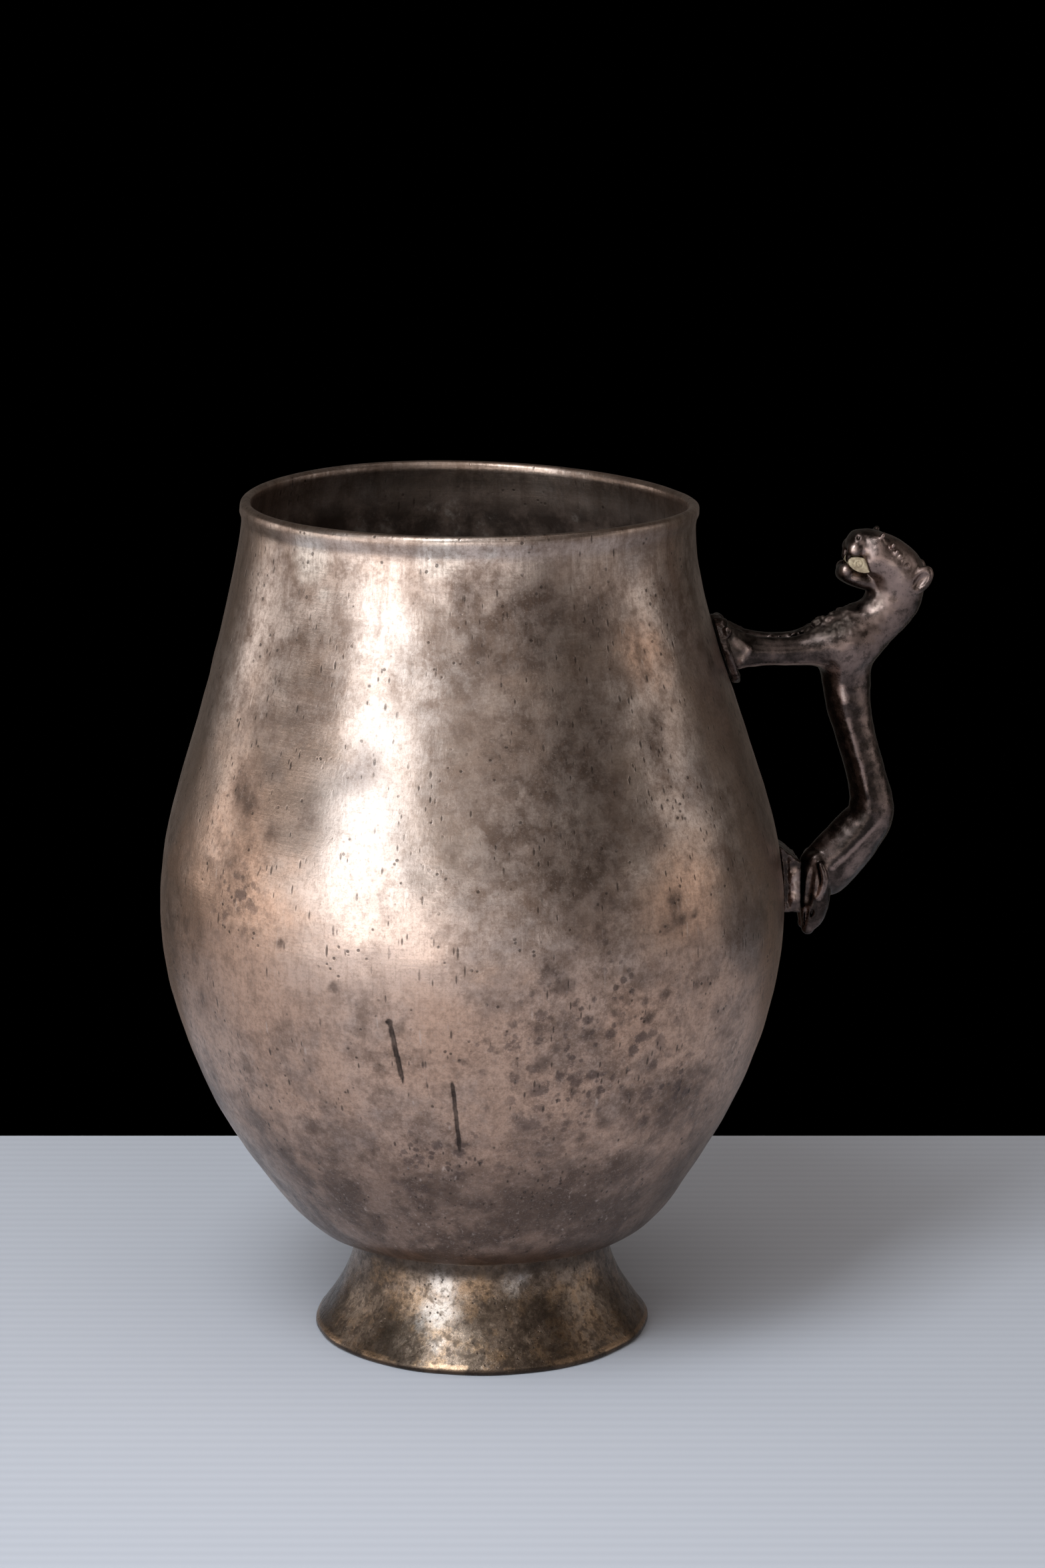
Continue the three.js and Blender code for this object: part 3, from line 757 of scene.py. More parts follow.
def worked_lines(side):
    """Lines and places worked into one side of the skin, with their widths and heights:
    the upper lip's edge, the side of the nose, a swelling on the upper and on the lower
    lip, the nostril's slit, a chevron round the forepaw and a lump inside it."""
    lip = ((9.4, 3.4, -2.3), (7.2, 4.4, -2), (4.8, 5, -2.9), (3.4, 5, -4.4))
    return (
        ([on_head(forward, side * out, up) for forward, out, up in lip], 0.55, 0.3),
        ([on_head(9.4, side * 3, 1.4)], 1.15, 0.3),
        ([(85.6, side * 3.7, 177.3)], 1.6, 0.5),
        ([(83.8, side * 2.8, 172.4)], 1.4, 0.4),
        ([on_head(9.7, side * 3.2, 1.9), on_head(9.2, side * 3.4, 1.1)], 0.34, -0.6),
        ([(58.6, side * 6.4, 160), (61.8, side * 6, 155.8), (59, side * 6.4, 151.8)], 0.5, 0.4),
        ([(59.8, side * 6.4, 155.9)], 1.1, 0.5),
    )


def crusted(points):
    """How rough the metal is: on top of the forelegs, on the forepaws and at the throat."""
    x, z = points[:, 0], points[:, 2]
    rough = smoothstep(z, 157.2, 159.5) * smoothstep(x, 88, 83)
    rough = np.maximum(rough, smoothstep(x, 62, 60) * smoothstep(z, 145, 147))
    rough *= smoothstep(z, 170, 166)
    throat = on_head(-0.4, 0, -10.2)
    return np.maximum(rough, 0.7 * bell(np.hypot(x - throat[0], z - throat[2]), 0, 2.2))


def handle_skin():
    """The feline, moulded in clay, with lines, a crust and fine lumps worked into its skin."""
    clay = Clay((54, -8.2, 86), (107, 8.2, 185), CLAY_STEP)
    mould_limbs(clay)
    mould_head(clay)
    crust(clay)
    points, triangles, normals = clay.skin()
    for side in (-1, 1):
        for path, width, height in worked_lines(side):
            points = worked(points, normals, path, width, height)
    rough = crusted(points)
    wave = 0.025 * ripple(points, 2.2, 33, 24) + 0.045 * ripple(points, 6, 34, 16)
    wave += rough * (0.08 * ripple(points, 1.6, 31, 40) + 0.11 * ripple(points, 3.2, 32, 24))
    # The worn mark holds both wear and painted highlights.
    marks = {"worn": rubbed(points, FELINE_WEAR_AND_HIGHLIGHTS), "crusted": rough}
    return points + normals * wave[:, None], triangles, marks


PLATE_HALF_WIDTH = 7.3
PLATE_HALF_HEIGHT = 7.9
PLATE_REACH = 7.6


def plate_skin():
    """The forepaws' plate: a leaf laid on the wall with a raised edge and solder lumps."""
    clay = Clay((50, -9, 144), (64, 9, 167), CLAY_STEP)
    off = clay.off_wall()
    _, _, y, z = clay.whole()
    share = np.sqrt((y / PLATE_HALF_WIDTH) ** 2 + ((z - UPPER_PLATE_HEIGHT) / PLATE_HALF_HEIGHT) ** 2)
    reach = share * PLATE_REACH - PLATE_REACH
    clay.field = np.maximum(np.abs(off - 1.25) - 0.75, reach + 0.3)
    clay.add((..., np.hypot(off - 1.5, reach + 1) - 0.75), 0.6)
    for side in (-1, 1):
        clay.add(clay.egg((56.2, side * 3, 161), (1.3, 2, 1.3), 30), 0.8)
        clay.add(clay.egg((57, side * 5, 159.4), (1.1, 1.5, 1.4), 10), 0.6)
    points, triangles, normals = clay.skin()
    wave = 0.07 * ripple(points, 1.5, 41, 30) + 0.13 * ripple(points, 3.4, 42, 20)
    return points + normals * wave[:, None], triangles, {"worn": rubbed(points, PLATE_WEAR)}


PAD_TOP = 109.4
PAD_BOTTOM = 95.7
PAD_HALF_WIDTH = 5.4
PAD_FRONT = 73.0


def pad_skin():
    """The block under the heels: upright faces, a slanted top and a rough worn side."""
    clay = Clay((66, -8, 92), (77, 8, 112), CLAY_STEP)
    off = clay.off_wall()
    _, x, y, z = clay.whole()
    slant = (z - PAD_TOP + (x - BELLY_RADIUS) * 0.76) * 0.79
    sides = np.maximum(np.abs(y) - PAD_HALF_WIDTH, np.maximum(PAD_BOTTOM - z, slant))
    faces = np.maximum(sides, np.maximum(0.5 - off, x - PAD_FRONT))
    clay.field = faces - 0.35 * np.exp(-((faces / 0.8) ** 2))
    for side in (-1, 1):
        clay.cut(clay.rod((70.2, side * 5.9, 107.2), (70.5, side * 5.9, 97), 0.55, 0.5), 0.5)
        for out, up, tilt in ((71.6, 104.2, 20), (72.2, 101.2, -15), (71.8, 98.2, 10)):
            clay.add(clay.egg((out, side * PAD_HALF_WIDTH, up), (0.8, 0.55, 1.5), tilt), 0.8)
    points, triangles, normals = clay.skin()
    wave = 0.06 * ripple(points, 1.3, 43, 30) + 0.1 * ripple(points, 3, 44, 20)
    return points + normals * wave[:, None], triangles, {"worn": rubbed(points, PAD_WEAR)}


def seam_on_wall(height, wide, tall, seed):
    """A flattened ball laid on the wall: its two long directions run round and up the
    wall, its short one stands off it."""
    polar = np.linspace(0.02, np.pi - 0.02, 30)
    turn = np.linspace(0, 2 * np.pi, 72, endpoint=False)
    p, t = np.meshgrid(polar, turn, indexing="ij")
    y, z = np.sin(p) * np.cos(t) * wide / 2, np.sin(p) * np.sin(t) * tall / 2
    off = (SEAM_BACK + SEAM_FRONT) / 2 + np.cos(p) * (SEAM_FRONT - SEAM_BACK) / 2
    lumps = SEAM_ROUGHNESS * ripple(np.stack([off, y, z], -1), 3, seed)
    y, z, off = y * (1 + lumps * 0.4), z * (1 + lumps * 0.3) + height, off + lumps * 0.5
    radius = wall_radius(z) + off
    return tube(about_axis(radius, y / radius, z))


def inlay_skin():
    """The inlay between the jaws: an almond with its two faces carved with rings."""
    clay = Clay((80, -5, 168), (93, 5, 181), INLAY_STEP)
    _, almond = clay.head_egg(6, 0, -4.1, (2.9, 60, 1.6), -3)
    clay.field = np.maximum(almond, np.abs(clay.whole()[2]) - 3.9)
    points, triangles, normals = clay.skin()
    off = (points - on_head(6.7, 0, -4)) * (1, 0, 1)
    far = np.linalg.norm(off, axis=1)
    rings = 0.16 * np.cos(far * 2 * np.pi / 0.7) * smoothstep(far, 1.5, 1.1)
    points[:, 1] += np.sign(points[:, 1]) * rings * (np.abs(normals[:, 1]) > 0.7)
    return points, triangles


# Materials

class Socket:
    """A value of a node tree. Arithmetic on it adds Math nodes."""

    def __init__(self, tree, link):
        self.tree = tree
        self.link = link

    def _math(self, operation, first, second):
        node = self.tree.nodes.new("ShaderNodeMath")
        node.operation = operation
        for slot, value in zip(node.inputs, (first, second)):
            if isinstance(value, Socket):
                self.tree.links.new(value.link, slot)
            else:
                slot.default_value = value
        return Socket(self.tree, node.outputs[0])

    def __add__(self, other):
        return self._math("ADD", self, other)

    def __radd__(self, other):
        return self._math("ADD", other, self)

    def __sub__(self, other):
        return self._math("SUBTRACT", self, other)

    def __rsub__(self, other):
        return self._math("SUBTRACT", other, self)

    def __mul__(self, other):
        return self._math("MULTIPLY", self, other)

    def wave(self):
        """Its sine."""
        return self._math("SINE", self, 0)

    def highest(self, other):
        """The greater of two values."""
        return self._math("MAXIMUM", self, other)


class Finish:
    """A material under construction: its tree, its shader, the object's coordinates and
    the colour so far."""

    def __init__(self, name, metallic, roughness):
        self.material = bpy.data.materials.new(name)
        self.material.use_nodes = True
        self.tree = self.material.node_tree
        self.shader = self.tree.nodes["Principled BSDF"]
        self.shader.inputs["Metallic"].default_value = metallic
        self.shader.inputs["Roughness"].default_value = roughness
        self.where = self.node("ShaderNodeTexCoord", {}, output="Object")
        self.colour = None

    def node(self, kind, values, output=0, **settings):
        """Any node, with its inputs' values, its settings and the output that is used."""
        node = self.tree.nodes.new(kind)
        for key, value in settings.items():
            setattr(node, key, value)
        for key, value in values.items():
            self.feed(node.inputs[key], value)
        return Socket(self.tree, node.outputs[output])

    def feed(self, slot, value):
        """Give an input a number, or link a value to it."""
        if isinstance(value, Socket):
            self.tree.links.new(value.link, slot)
        else:
            slot.default_value = value

    def stretched(self, scale, turn=(0.0, 0.0, 0.0)):
        """The object's coordinates, turned and scaled."""
        return self.node("ShaderNodeMapping", {"Vector": self.where, "Scale": scale, "Rotation": turn})

    def noise(self, scale, detail=4.0, rough=0.55, where=None, distortion=0.0):
        """Soft lumps of many sizes, about a half on average."""
        values = {"Vector": where or self.where, "Scale": scale, "Detail": detail, "Roughness": rough}
        values["Distortion"] = distortion
        return self.node("ShaderNodeTexNoise", values)

    def cells(self, scale, where=None):
        """Distance from the nearest of scattered points."""
        return self.node("ShaderNodeTexVoronoi", {"Vector": where or self.where, "Scale": scale})

    def step(self, value, start, end):
        """Nought where a value is at the start, one at the end, and an S between them."""
        values = {"Value": value, "From Min": start, "From Max": end}
        return self.node("ShaderNodeMapRange", values, interpolation_type="SMOOTHSTEP")

    def mix(self, factor, first, second):
        """From the first colour to the second by a factor."""
        first = first if isinstance(first, Socket) else (*first, 1)
        second = second if isinstance(second, Socket) else (*second, 1)
        return self.node("ShaderNodeMix", {0: factor, 6: first, 7: second}, output=2, data_type="RGBA")

    def lay(self, factor, tint):
        """Lay a tint over the colour so far, by a factor."""
        self.colour = self.mix(factor, self.colour, tint)

    def wash(self, value, start, end, share, tint):
        """Lay at most a share of a tint, where a value goes from start to end."""
        self.lay(self.step(value, start, end) * share, tint)

    def marked(self, name, edge, ragged):
        """One in the middle of the skin's marks of this name and zero away from them, with
        their outline made ragged by a noise."""
        near = self.attribute(name) + (0.5 - edge) * (4.0 * ragged)
        return self.step(near, -0.15, 0.65)

    def height(self):
        """Height above the table, in metres."""
        return self.node("ShaderNodeSeparateXYZ", {0: self.where}, output=2)

    def attribute(self, name):
        """One of the values that the skin carries at each point."""
        return self.node("ShaderNodeAttribute", {}, output="Fac", attribute_name=name)

    def bump(self, height, strength, distance):
        """Relief from a height, over a distance in millimetres."""
        values = {"Height": height, "Strength": strength, "Distance": distance * MM}
        self.feed(self.shader.inputs["Normal"], self.node("ShaderNodeBump", values))

    def finish(self, roughness):
        """The material, with the colour so far and a roughness."""
        self.feed(self.shader.inputs["Base Color"], self.colour)
        self.feed(self.shader.inputs["Roughness"], roughness)
        return self.material


# Grain that is drawn out up the vessel, and round it
UPRIGHT_GRAIN = (1, 1, 0.06)
HOOP_GRAIN = (0.05, 0.05, 1)

SILVER_PALE = (0.66, 0.53, 0.46)
SMEAR_PALE = (0.80, 0.69, 0.61)
SILVER_WARM = (0.50, 0.36, 0.285)
SILVER_PINK = (0.65, 0.415, 0.30)
SILVER_VIOLET = (0.33, 0.268, 0.24)
BROWN = (0.19, 0.122, 0.088)
TARNISH = (0.115, 0.078, 0.062)
SPOT_GREY = (0.105, 0.073, 0.064)
SOOT = (0.04, 0.03, 0.026)
LINING_DARK = (0.075, 0.048, 0.036)
LINING_BROWN = (0.20, 0.135, 0.105)
LINING_SCUFF = (0.46, 0.36, 0.30)
LINING_SOOT = (0.05, 0.036, 0.03)

FOOT_UMBER = (0.095, 0.066, 0.047)
FOOT_BROWN = (0.27, 0.195, 0.148)
FOOT_TAN = (0.38, 0.285, 0.22)
FOOT_SHADE = (0.07, 0.05, 0.037)
FOOT_OCHRE = (0.34, 0.21, 0.12)
FOOT_STREAK = (0.06, 0.042, 0.032)
FOOT_CRUMB = (0.05, 0.036, 0.027)
FOOT_GLINT = (0.46, 0.35, 0.27)
FOOT_FINE_GLINT = (0.46, 0.36, 0.28)
# Pale tint for places on the foot that are partly a painted highlight.
FOOT_RUBBED_HIGHLIGHT = (0.56, 0.49, 0.44)
# Copper for an edge band that is partly a painted highlight.
FOOT_COPPER_HIGHLIGHT = (0.62, 0.40, 0.25)
# Painted shade for the bottom of the foot's edge.
FOOT_EDGE_SHADE = (0.04, 0.029, 0.023)
# Painted shadow for below the joint.
JOINT_SHADOW = (0.045, 0.033, 0.026)

FELINE_BLACK = (0.028, 0.021, 0.018)
FELINE_MAUVE = (0.10, 0.072, 0.064)
FELINE_BROWN = (0.17, 0.115, 0.095)
FELINE_THIN = (0.29, 0.205, 0.178)
# Pale for the strongest places of the worn mark, partly painted highlights.
FELINE_BRIGHT = (0.62, 0.47, 0.40)
FELINE_PIT = (0.035, 0.026, 0.022)
FELINE_GRAIN = (0.045, 0.034, 0.03)
FELINE_CRUST = (0.075, 0.058, 0.045)

INLAY_STAIN = (0.30, 0.22, 0.14)
INLAY_BONE = (0.58, 0.46, 0.30)

# Heights in metres from which a mark starts and at which it is full
PINK_BELOW = (0.125, 0.085)
DARK_BELOW = (0.072, 0.04)
STREAKS_ABOVE = (0.145, 0.165)
EDGE_HIGHLIGHT_BELOW = (0.0024, 0.0019)
EDGE_SHADE_BELOW = (0.0015, 0.0011)
JOINT_SHADOW_ABOVE = (0.0178, 0.0212)


def vessel_spots(f, edge):
    """Grey spots of three sizes and a fine speckle, where the wall is marked as spotted."""
    ragged = (f.noise(330, 7, 0.75) - 0.5) * 1.1
    large = f.step(f.cells(118, where=f.stretched((1, 1, 1.2))) + ragged, 0.36, 0.22)
    middling = f.step(f.cells(235) + ragged, 0.4, 0.22) * f.step(f.noise(75), 0.42, 0.52)
    small = f.step(f.cells(430) + ragged, 0.36, 0.2) * f.step(f.noise(110), 0.44, 0.54)
    spots = (large * f.step(f.noise(55), 0.46, 0.54)).highest(middling).highest(small)
    spotted = f.marked("spotted", edge, 0.35)
    spots = spots * spotted
    speckle = f.step(f.noise(300, 8, 0.78), 0.46, 0.62) * spotted
    f.lay(speckle * 0.55, BROWN)
    f.lay(spots * 0.75, SPOT_GREY)
    return spots


# Kinds of dashes: scale, turn, and how much they are drawn out upright
DASHES = ((330, 0.5, 0.2), (380, -0.45, 0.18), (520, 0.15, 0.2), (450, 1.2, 0.25))


def vessel_pits(f):
    """Short dark dashes in four directions, and pits."""
    dashes = None
    for scale, turn, upright in DASHES:
        grid = f.stretched((1, 1, upright), (0, turn, 0))
        one = f.step(f.cells(scale, where=grid), 0.13, 0.06)
        dashes = one if dashes is None else dashes.highest(one)
    dashes = dashes * f.step(f.noise(75, 6), 0.42, 0.54)
    pits = f.step(f.cells(420), 0.2, 0.1) * f.step(f.noise(120), 0.5, 0.6)
    f.lay(dashes.highest(pits) * 0.75, SOOT)
    return dashes, pits


def vessel_lining(f, inside, blotch, mottle, brown):
    """Dark brown tarnish inside the vessel, with paler scuffs."""
    lining = f.mix(f.step(blotch, 0.44, 0.6), LINING_DARK, LINING_BROWN)
    scuffs = f.step(blotch * 0.6 + mottle * 0.4, 0.54, 0.6)
    lining = f.mix(scuffs * 0.8, lining, LINING_SCUFF)
    lining = f.mix(brown * 0.5, lining, LINING_SOOT)
    f.lay(inside, lining)


def vessel_finish():
    """Salmon-coloured silver under violet-grey veils and brown mottling, with dark clouds,
    grey spots, short dashes, pits, fine upright brushing and a darker underside."""
    f = Finish("vessel_silver", 1, 0.34)
    edge = f.noise(48, 8, 0.66, distortion=0.2)
    cloud = f.noise(33, 8, 0.62, distortion=0.3)
    blotch = f.noise(84, 8, 0.66, distortion=0.2)
    mottle = f.noise(240, 8, 0.72)
    stipple = f.noise(820, 5, 0.72)
    brushed = f.noise(1500, 3, 0.6, where=f.stretched(UPRIGHT_GRAIN))
    hoops = f.noise(1500, 3, 0.6, where=f.stretched(HOOP_GRAIN))
    inside = f.attribute("inside")

    # Paler, less mottled silver in these places, which lie mostly along the key light's highlight and so
    # are partly a painted highlight.
    clean_highlit = f.marked("cleaned", edge, 0.3)
    dirty = 1.0 - clean_highlit * 0.8
    low = f.step(f.height(), *PINK_BELOW)
    f.colour = f.mix(f.step(cloud, 0.38, 0.62).highest(clean_highlit), SILVER_WARM, SILVER_PALE)
    f.lay(low * 0.75, SILVER_PINK)
    f.lay(f.step(blotch, 0.42, 0.68) * dirty * 0.55, SILVER_VIOLET)
    f.lay(f.marked("pinked", edge, 0.5), SILVER_PINK)
    f.lay(f.marked("veiled", edge, 0.5) * 0.85, SILVER_VIOLET)
    f.lay(f.marked("smeared", edge, 0.45), SMEAR_PALE)

    dark = f.marked("clouded", edge, 0.62)
    under = f.step(f.height() + (edge - 0.5) * 0.05, *DARK_BELOW)
    worn = f.step(cloud * 0.5 + blotch * 0.5, 0.38, 0.62)
    brown = f.step(mottle * 0.7 + blotch * 0.3, 0.42, 0.62)
    f.lay((0.22 + worn * 0.6) * brown * dirty, BROWN)
    f.lay(dark * (0.5 + brown * 0.42), TARNISH)
    f.lay(under * (0.62 + f.step(blotch, 0.42, 0.58) * 0.2 + brown * 0.2), TARNISH)
    f.lay(f.step(stipple, 0.46, 0.66) * (0.18 + dirty * 0.2), BROWN)
    f.wash(brushed, 0.5, 0.72, 0.18, BROWN)
    streaks = f.noise(260, 6, 0.7, where=f.stretched((1, 1, 0.12)))
    neck = f.step(f.height() + (edge - 0.5) * 0.06, *STREAKS_ABOVE)
    f.lay(f.step(streaks, 0.48, 0.64) * neck * 0.45, BROWN)
    f.wash(hoops, 0.52, 0.72, 0.14, BROWN)
    f.wash(stipple, 0.46, 0.3, 0.2, SILVER_PALE)

    spots = vessel_spots(f, edge)
    blots = f.marked("blotted", f.noise(330, 6, 0.7), 0.3)
    f.lay(blots * (0.7 + brown * 0.25), TARNISH)
    dashes, pits = vessel_pits(f)
    fine_lines = f.noise(900, 2, 0.5, where=f.stretched((1, 1, 0.03), (0, 0.12, 0)))
    scratches = f.step(fine_lines, 0.66, 0.76)
    scratches = scratches * f.step(f.noise(40), 0.46, 0.56)
    f.lay(scratches * 0.45, SILVER_PALE)
    scored = f.step(f.attribute("scored") + (stipple - 0.5) * 0.5, 0.1, 0.5)
    f.lay(scored * (0.75 + brown * 0.2), SOOT)
    grain = f.noise(2400, 3, 0.7)
    f.wash(grain, 0.5, 0.68, 0.28, BROWN)
    f.lay(f.step(grain, 0.42, 0.3) * 0.3 * (1.0 - scored), SILVER_PALE)

    vessel_lining(f, inside, blotch, mottle, brown)
    f.feed(f.shader.inputs["Metallic"], 1.0 - inside * 0.25)
    rough = 0.28 + f.step(blotch, 0.4, 0.7) * 0.08 + dark * 0.06
    rough = rough + f.step(stipple, 0.4, 0.7) * 0.08 + inside * 0.22
    relief = stipple * 0.9 + mottle * 0.3 + brushed * 0.5 + hoops * 0.4
    f.bump(relief - (pits + dashes) * 0.8 - spots * 0.2, 0.22, 0.22)
    return f.finish(rough)


def foot_finish():
    """Browner silver: ochre and umber blotches, streaks down the flare, crumbs and pits, paler
    places that are partly a painted highlight, a copper edge band that is partly wear and partly
    a painted highlight, painted shade along the bottom of the edge and a painted shadow below the joint."""
    f = Finish("foot_silver", 1, 0.36)
    blotch = f.noise(130, 8, 0.74, where=f.stretched((1, 1, 0.8)))
    patch = f.noise(48, 7, 0.66)
    mottle = f.noise(520, 7, 0.75)
    streak = f.noise(420, 5, 0.65, where=f.stretched((1, 1, 0.3), (0.3, 0.2, 0)))
    f.colour = f.mix(f.step(blotch, 0.36, 0.66), FOOT_UMBER, FOOT_BROWN)
    f.wash(patch, 0.48, 0.64, 0.4, FOOT_TAN)
    f.wash(patch, 0.48, 0.34, 0.4, FOOT_SHADE)
    f.wash(f.noise(120, 8, 0.74), 0.47, 0.6, 0.55, FOOT_OCHRE)
    f.wash(streak, 0.54, 0.7, 0.5, FOOT_STREAK)
    grain = f.noise(1500, 4, 0.7)
    f.wash(mottle, 0.49, 0.6, 0.65, FOOT_CRUMB)
    f.wash(mottle, 0.45, 0.35, 0.45, FOOT_GLINT)
    f.wash(grain, 0.5, 0.66, 0.4, FOOT_CRUMB)
    f.wash(grain, 0.42, 0.3, 0.2, FOOT_FINE_GLINT)
    # Paler metal at these places: partly wear, partly a painted highlight where the key light falls on the
    # flare.
    worn = f.marked("rubbed", blotch, 0.5)
    f.lay(worn * (0.7 - f.step(mottle, 0.48, 0.6) * 0.5), FOOT_RUBBED_HIGHLIGHT)
    pits = f.step(f.cells(760), 0.22, 0.1) * f.step(f.noise(160), 0.48, 0.6)
    f.lay(pits * 0.8, SOOT)
    level = f.height() + (mottle - 0.5) * 0.001
    # A copper band along the bottom edge: partly wear, partly a painted highlight line.
    worn_edge_highlight = f.step(level, *EDGE_HIGHLIGHT_BELOW) * f.step(patch, 0.46, 0.54)
    f.lay(worn_edge_highlight * 0.6, FOOT_COPPER_HIGHLIGHT)
    # Painted shade along the very bottom of the edge.
    f.wash(level, *EDGE_SHADE_BELOW, 0.85, FOOT_EDGE_SHADE)
    # Painted shadow on the foot's top, below the bowl's overhang.
    f.wash(level + (blotch - 0.5) * 0.006, *JOINT_SHADOW_ABOVE, 0.7, JOINT_SHADOW)
    f.bump(mottle * 0.8 + blotch * 0.5 + streak * 0.3 + grain * 0.1 - pits, 0.42, 0.28)
    return f.finish(0.23 + f.step(mottle, 0.4, 0.7) * 0.15)


def handle_finish():
    """Glossy near-black tarnish, mauve-brown where it thins, and paler where it is worn and
    where highlights are painted on its ridges, face and ear.
    """
    f = Finish("handle_silver", 1, 0.3)
    cloud = f.noise(150, 8, 0.7, distortion=0.3)
    mottle = f.noise(420, 7, 0.72)
    grain = f.noise(1500, 4, 0.7)
    crust_here = f.attribute("crusted")
    worn = f.attribute("worn") + (cloud - 0.5) * 0.6 + (mottle - 0.5) * 0.6 + (grain - 0.5) * 0.2
    f.colour = f.mix(f.step(cloud * 0.6 + mottle * 0.4, 0.4, 0.62), FELINE_BLACK, FELINE_MAUVE)
    f.wash(mottle, 0.54, 0.7, 0.4, FELINE_BROWN)
    # Paler metal along the worn mark: partly wear, partly painted highlights.
    f.lay(f.step(worn, 0.16, 0.75), FELINE_THIN)
    f.wash(worn, 0.74, 1.05, 0.85, FELINE_BRIGHT)
    f.wash(mottle, 0.47, 0.36, 0.55, FELINE_PIT)
    f.wash(grain, 0.52, 0.68, 0.4, FELINE_GRAIN)
    f.lay(crust_here * f.step(mottle, 0.38, 0.6) * 0.6, FELINE_CRUST)
    f.bump(grain * 0.3 + mottle * (0.5 + crust_here) + cloud * 0.6, 0.28, 0.24)
    rough = 0.23 + f.step(mottle, 0.4, 0.7) * 0.14 + f.step(worn, 0.2, 0.8) * 0.05
    return f.finish(rough + crust_here * 0.22)


def solder_finish(name, dark, pale):
    """Dull crumbly solder, between a dark and a pale tint."""
    f = Finish(name, 0.75, 0.55)
    crumbs = f.noise(700, 6, 0.7)
    f.colour = f.mix(f.step(crumbs, 0.4, 0.65), dark, pale)
    f.bump(crumbs, 0.5, 0.3)
    return f.finish(0.45 + crumbs * 0.3)


def inlay_finish():
    """The pale filling, stained brown in patches."""
    f = Finish("inlay_bone", 0, 0.5)
    stain = f.noise(800, 5, 0.6)
    f.colour = f.mix(f.step(stain, 0.35, 0.65), INLAY_STAIN, INLAY_BONE)
    f.bump(stain, 0.3, 0.15)
    return f.finish(0.42 + stain * 0.2)


# Stage, lamps and camera

def make_camera():
    """The photograph's camera, fitted to the rim, the foot and the table's ribs."""
    data = bpy.data.cameras.new("camera")
    data.lens = CAMERA_LENS
    data.sensor_width = CAMERA_SENSOR
    camera = add_object("camera", data)
    camera.location = from_photo(CAMERA_SIDE, -CAMERA_DISTANCE, CAMERA_HEIGHT)
    camera.rotation_euler = (np.radians(90.0 - CAMERA_PITCH), 0, -TURN)
    bpy.context.scene.camera = camera


def softbox(name, azimuth, elevation, distance, width, height, radiance, tint=(1.0, 1.0, 1.0)):
    """A square lamp that faces the jug. Azimuth is in the photograph's frame, -90 at the
    camera, and radiance is how bright the lamp looks, so its power follows its area."""
    data = bpy.data.lights.new(name, "AREA")
    data.shape = "RECTANGLE"
    data.size, data.size_y = width, height
    data.energy = radiance * width * height * np.pi
    data.color = tint
    lamp = add_object(name, data)
    a, e = np.radians(azimuth - HANDLE_TURN), np.radians(elevation)
    way = Vector((np.cos(a) * np.cos(e), np.sin(a) * np.cos(e), np.sin(e)))
    target = Vector((AXIS_X * MM, 0, 0.1))
    lamp.location = target + way * distance
    lamp.rotation_euler = (-way).to_track_quat("-Z", "Y").to_euler()


# The table's sizes are in millimetres, the spacing of its ribs in metres
TABLE_FRONT = 1100.0
TABLE_BACK = 136.0
TABLE_HALF_WIDTH = 1100.0
RIB_SPACING = 0.00426
TABLE_ROUGHNESS = 0.7
# The darker rib stripe is painted shade in the grooves.
TABLE_GROOVE_SHADE = (0.77, 0.78, 0.85)
TABLE_RIB = (0.81, 0.82, 0.89)
ROOM_GREY = (0.078, 0.07, 0.062, 1)
BLACK = (0, 0, 0, 1)


def make_table():
    """A pale table top that ends a hand's breadth behind the jug, its ribs painted as stripes:
    the darker stripes are painted shade in the grooves.
    """
    corners = [
        from_photo(right * TABLE_HALF_WIDTH, away, 0)
        for right, away in ((-1, -TABLE_FRONT), (1, -TABLE_FRONT), (1, TABLE_BACK), (-1, TABLE_BACK))
    ]
    mesh = bpy.data.meshes.new("table")
    mesh.from_pydata(corners, [], [(0, 1, 2, 3)])
    table = add_object("table", mesh)
    f = Finish("pale_table", 0, TABLE_ROUGHNESS)
    turned = f.stretched((1, 1, 1), (0, 0, TURN))
    across = f.node("ShaderNodeSeparateXYZ", {0: turned}, output=1)
    # Stripes for the ribs; the darker ones are painted shade in the grooves.
    ribs = (across * (2 * np.pi / RIB_SPACING)).wave() * 0.5 + 0.5
    f.colour = f.mix(ribs, TABLE_GROOVE_SHADE, TABLE_RIB)
    mesh.materials.append(f.finish(TABLE_ROUGHNESS))


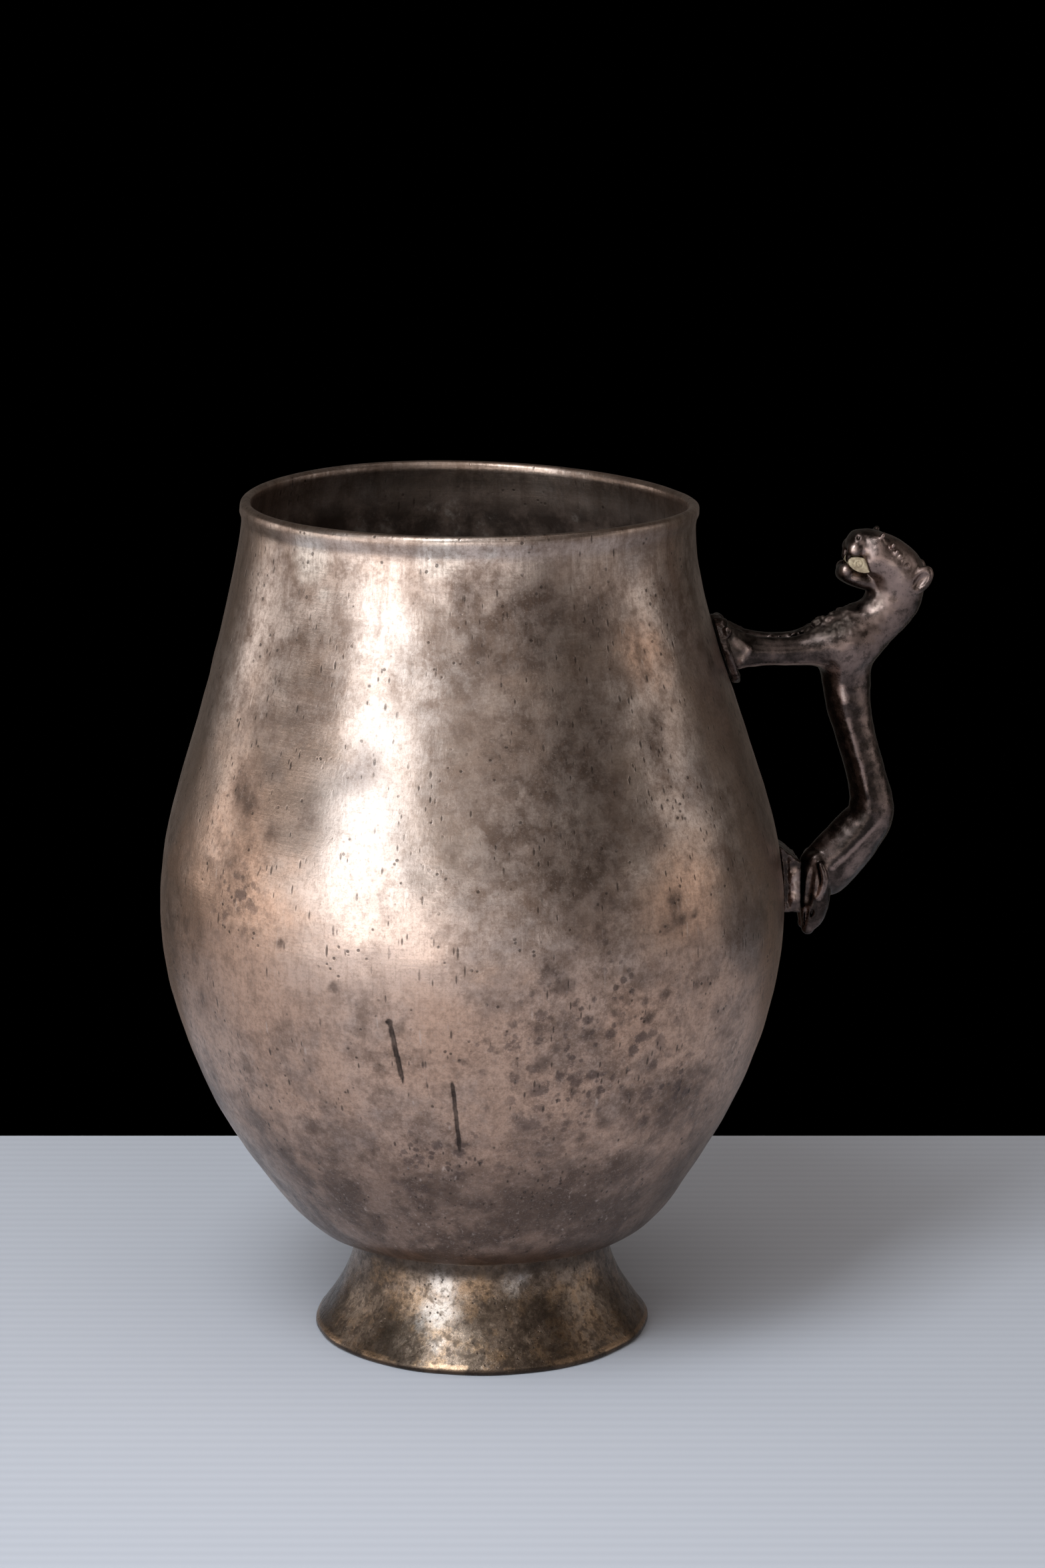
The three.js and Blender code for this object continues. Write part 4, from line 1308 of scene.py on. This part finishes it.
def make_world():
    """Dark behind the jug, and a weak grey room in its reflections."""
    world = bpy.data.worlds.new("studio")
    world.use_nodes = True
    tree = world.node_tree
    room = tree.nodes["Background"]
    room.inputs["Color"].default_value = ROOM_GREY
    behind = tree.nodes.new("ShaderNodeBackground")
    behind.inputs["Color"].default_value = BLACK
    ray = tree.nodes.new("ShaderNodeLightPath")
    mix = tree.nodes.new("ShaderNodeMixShader")
    tree.links.new(ray.outputs["Is Camera Ray"], mix.inputs[0])
    tree.links.new(room.outputs[0], mix.inputs[1])
    tree.links.new(behind.outputs[0], mix.inputs[2])
    tree.links.new(mix.outputs[0], tree.nodes["World Output"].inputs["Surface"])
    bpy.context.scene.world = world


make_camera()
make_table()
make_world()
COOL = (0.84, 0.93, 1)
softbox("key", -128, 27, 1.1, 0.6, 0.95, 2.9, COOL)
softbox("high_key", -119, 53, 0.95, 0.3, 0.5, 6.6, COOL)
softbox("front_fill", -82, 22, 1.35, 0.8, 0.8, 0.3)
softbox("front_high", -70, 38, 1.2, 0.6, 0.45, 0.8)
softbox("low_band", -140, 3.5, 1.25, 2.5, 0.3, 1.9)
softbox("low_front", -86, 2.5, 1.3, 1.1, 0.25, 1.6)
softbox("low_right", -22, 3, 1.3, 1.1, 0.25, 0.55)
softbox("left_strip", 160, 8, 1, 0.28, 0.4, 1.7)
softbox("right_fill", 2, 16, 1.2, 0.4, 0.75, 0.7)
softbox("overhead", -90, 80, 1.3, 1.2, 1, 0.5)

handle_metal = handle_finish()
add_piece("jug_body", "vessel_body", vessel_skin(), vessel_finish())
add_piece("flared_foot", "foot", foot_skin(), foot_finish())
add_piece("foot_seam", "foot_solder", foot_seam_skin(),
          solder_finish("foot_seam_solder", (0.035, 0.026, 0.02), (0.16, 0.12, 0.09)))
add_piece("feline", "feline_handle", handle_skin(), handle_metal)
add_piece("jaw_inlay", "mouth_inlay", inlay_skin(), inlay_finish())
add_piece("paw_plate", "upper_plate", plate_skin(), handle_metal)
add_piece("heel_pad", "lower_plate", pad_skin(), handle_metal)
seam_metal = solder_finish("handle_solder", (0.05, 0.04, 0.035), (0.2, 0.16, 0.13))
upper_seam = seam_on_wall(UPPER_PLATE_HEIGHT, 13, 13.8, 43)
lower_seam = seam_on_wall(LOWER_PLATE_HEIGHT, 11.4, 13.4, 44)
add_piece("upper_seam", "upper_solder", upper_seam, seam_metal)
add_piece("lower_seam", "lower_solder", lower_seam, seam_metal)

bpy.context.scene.view_settings.view_transform = "Standard"
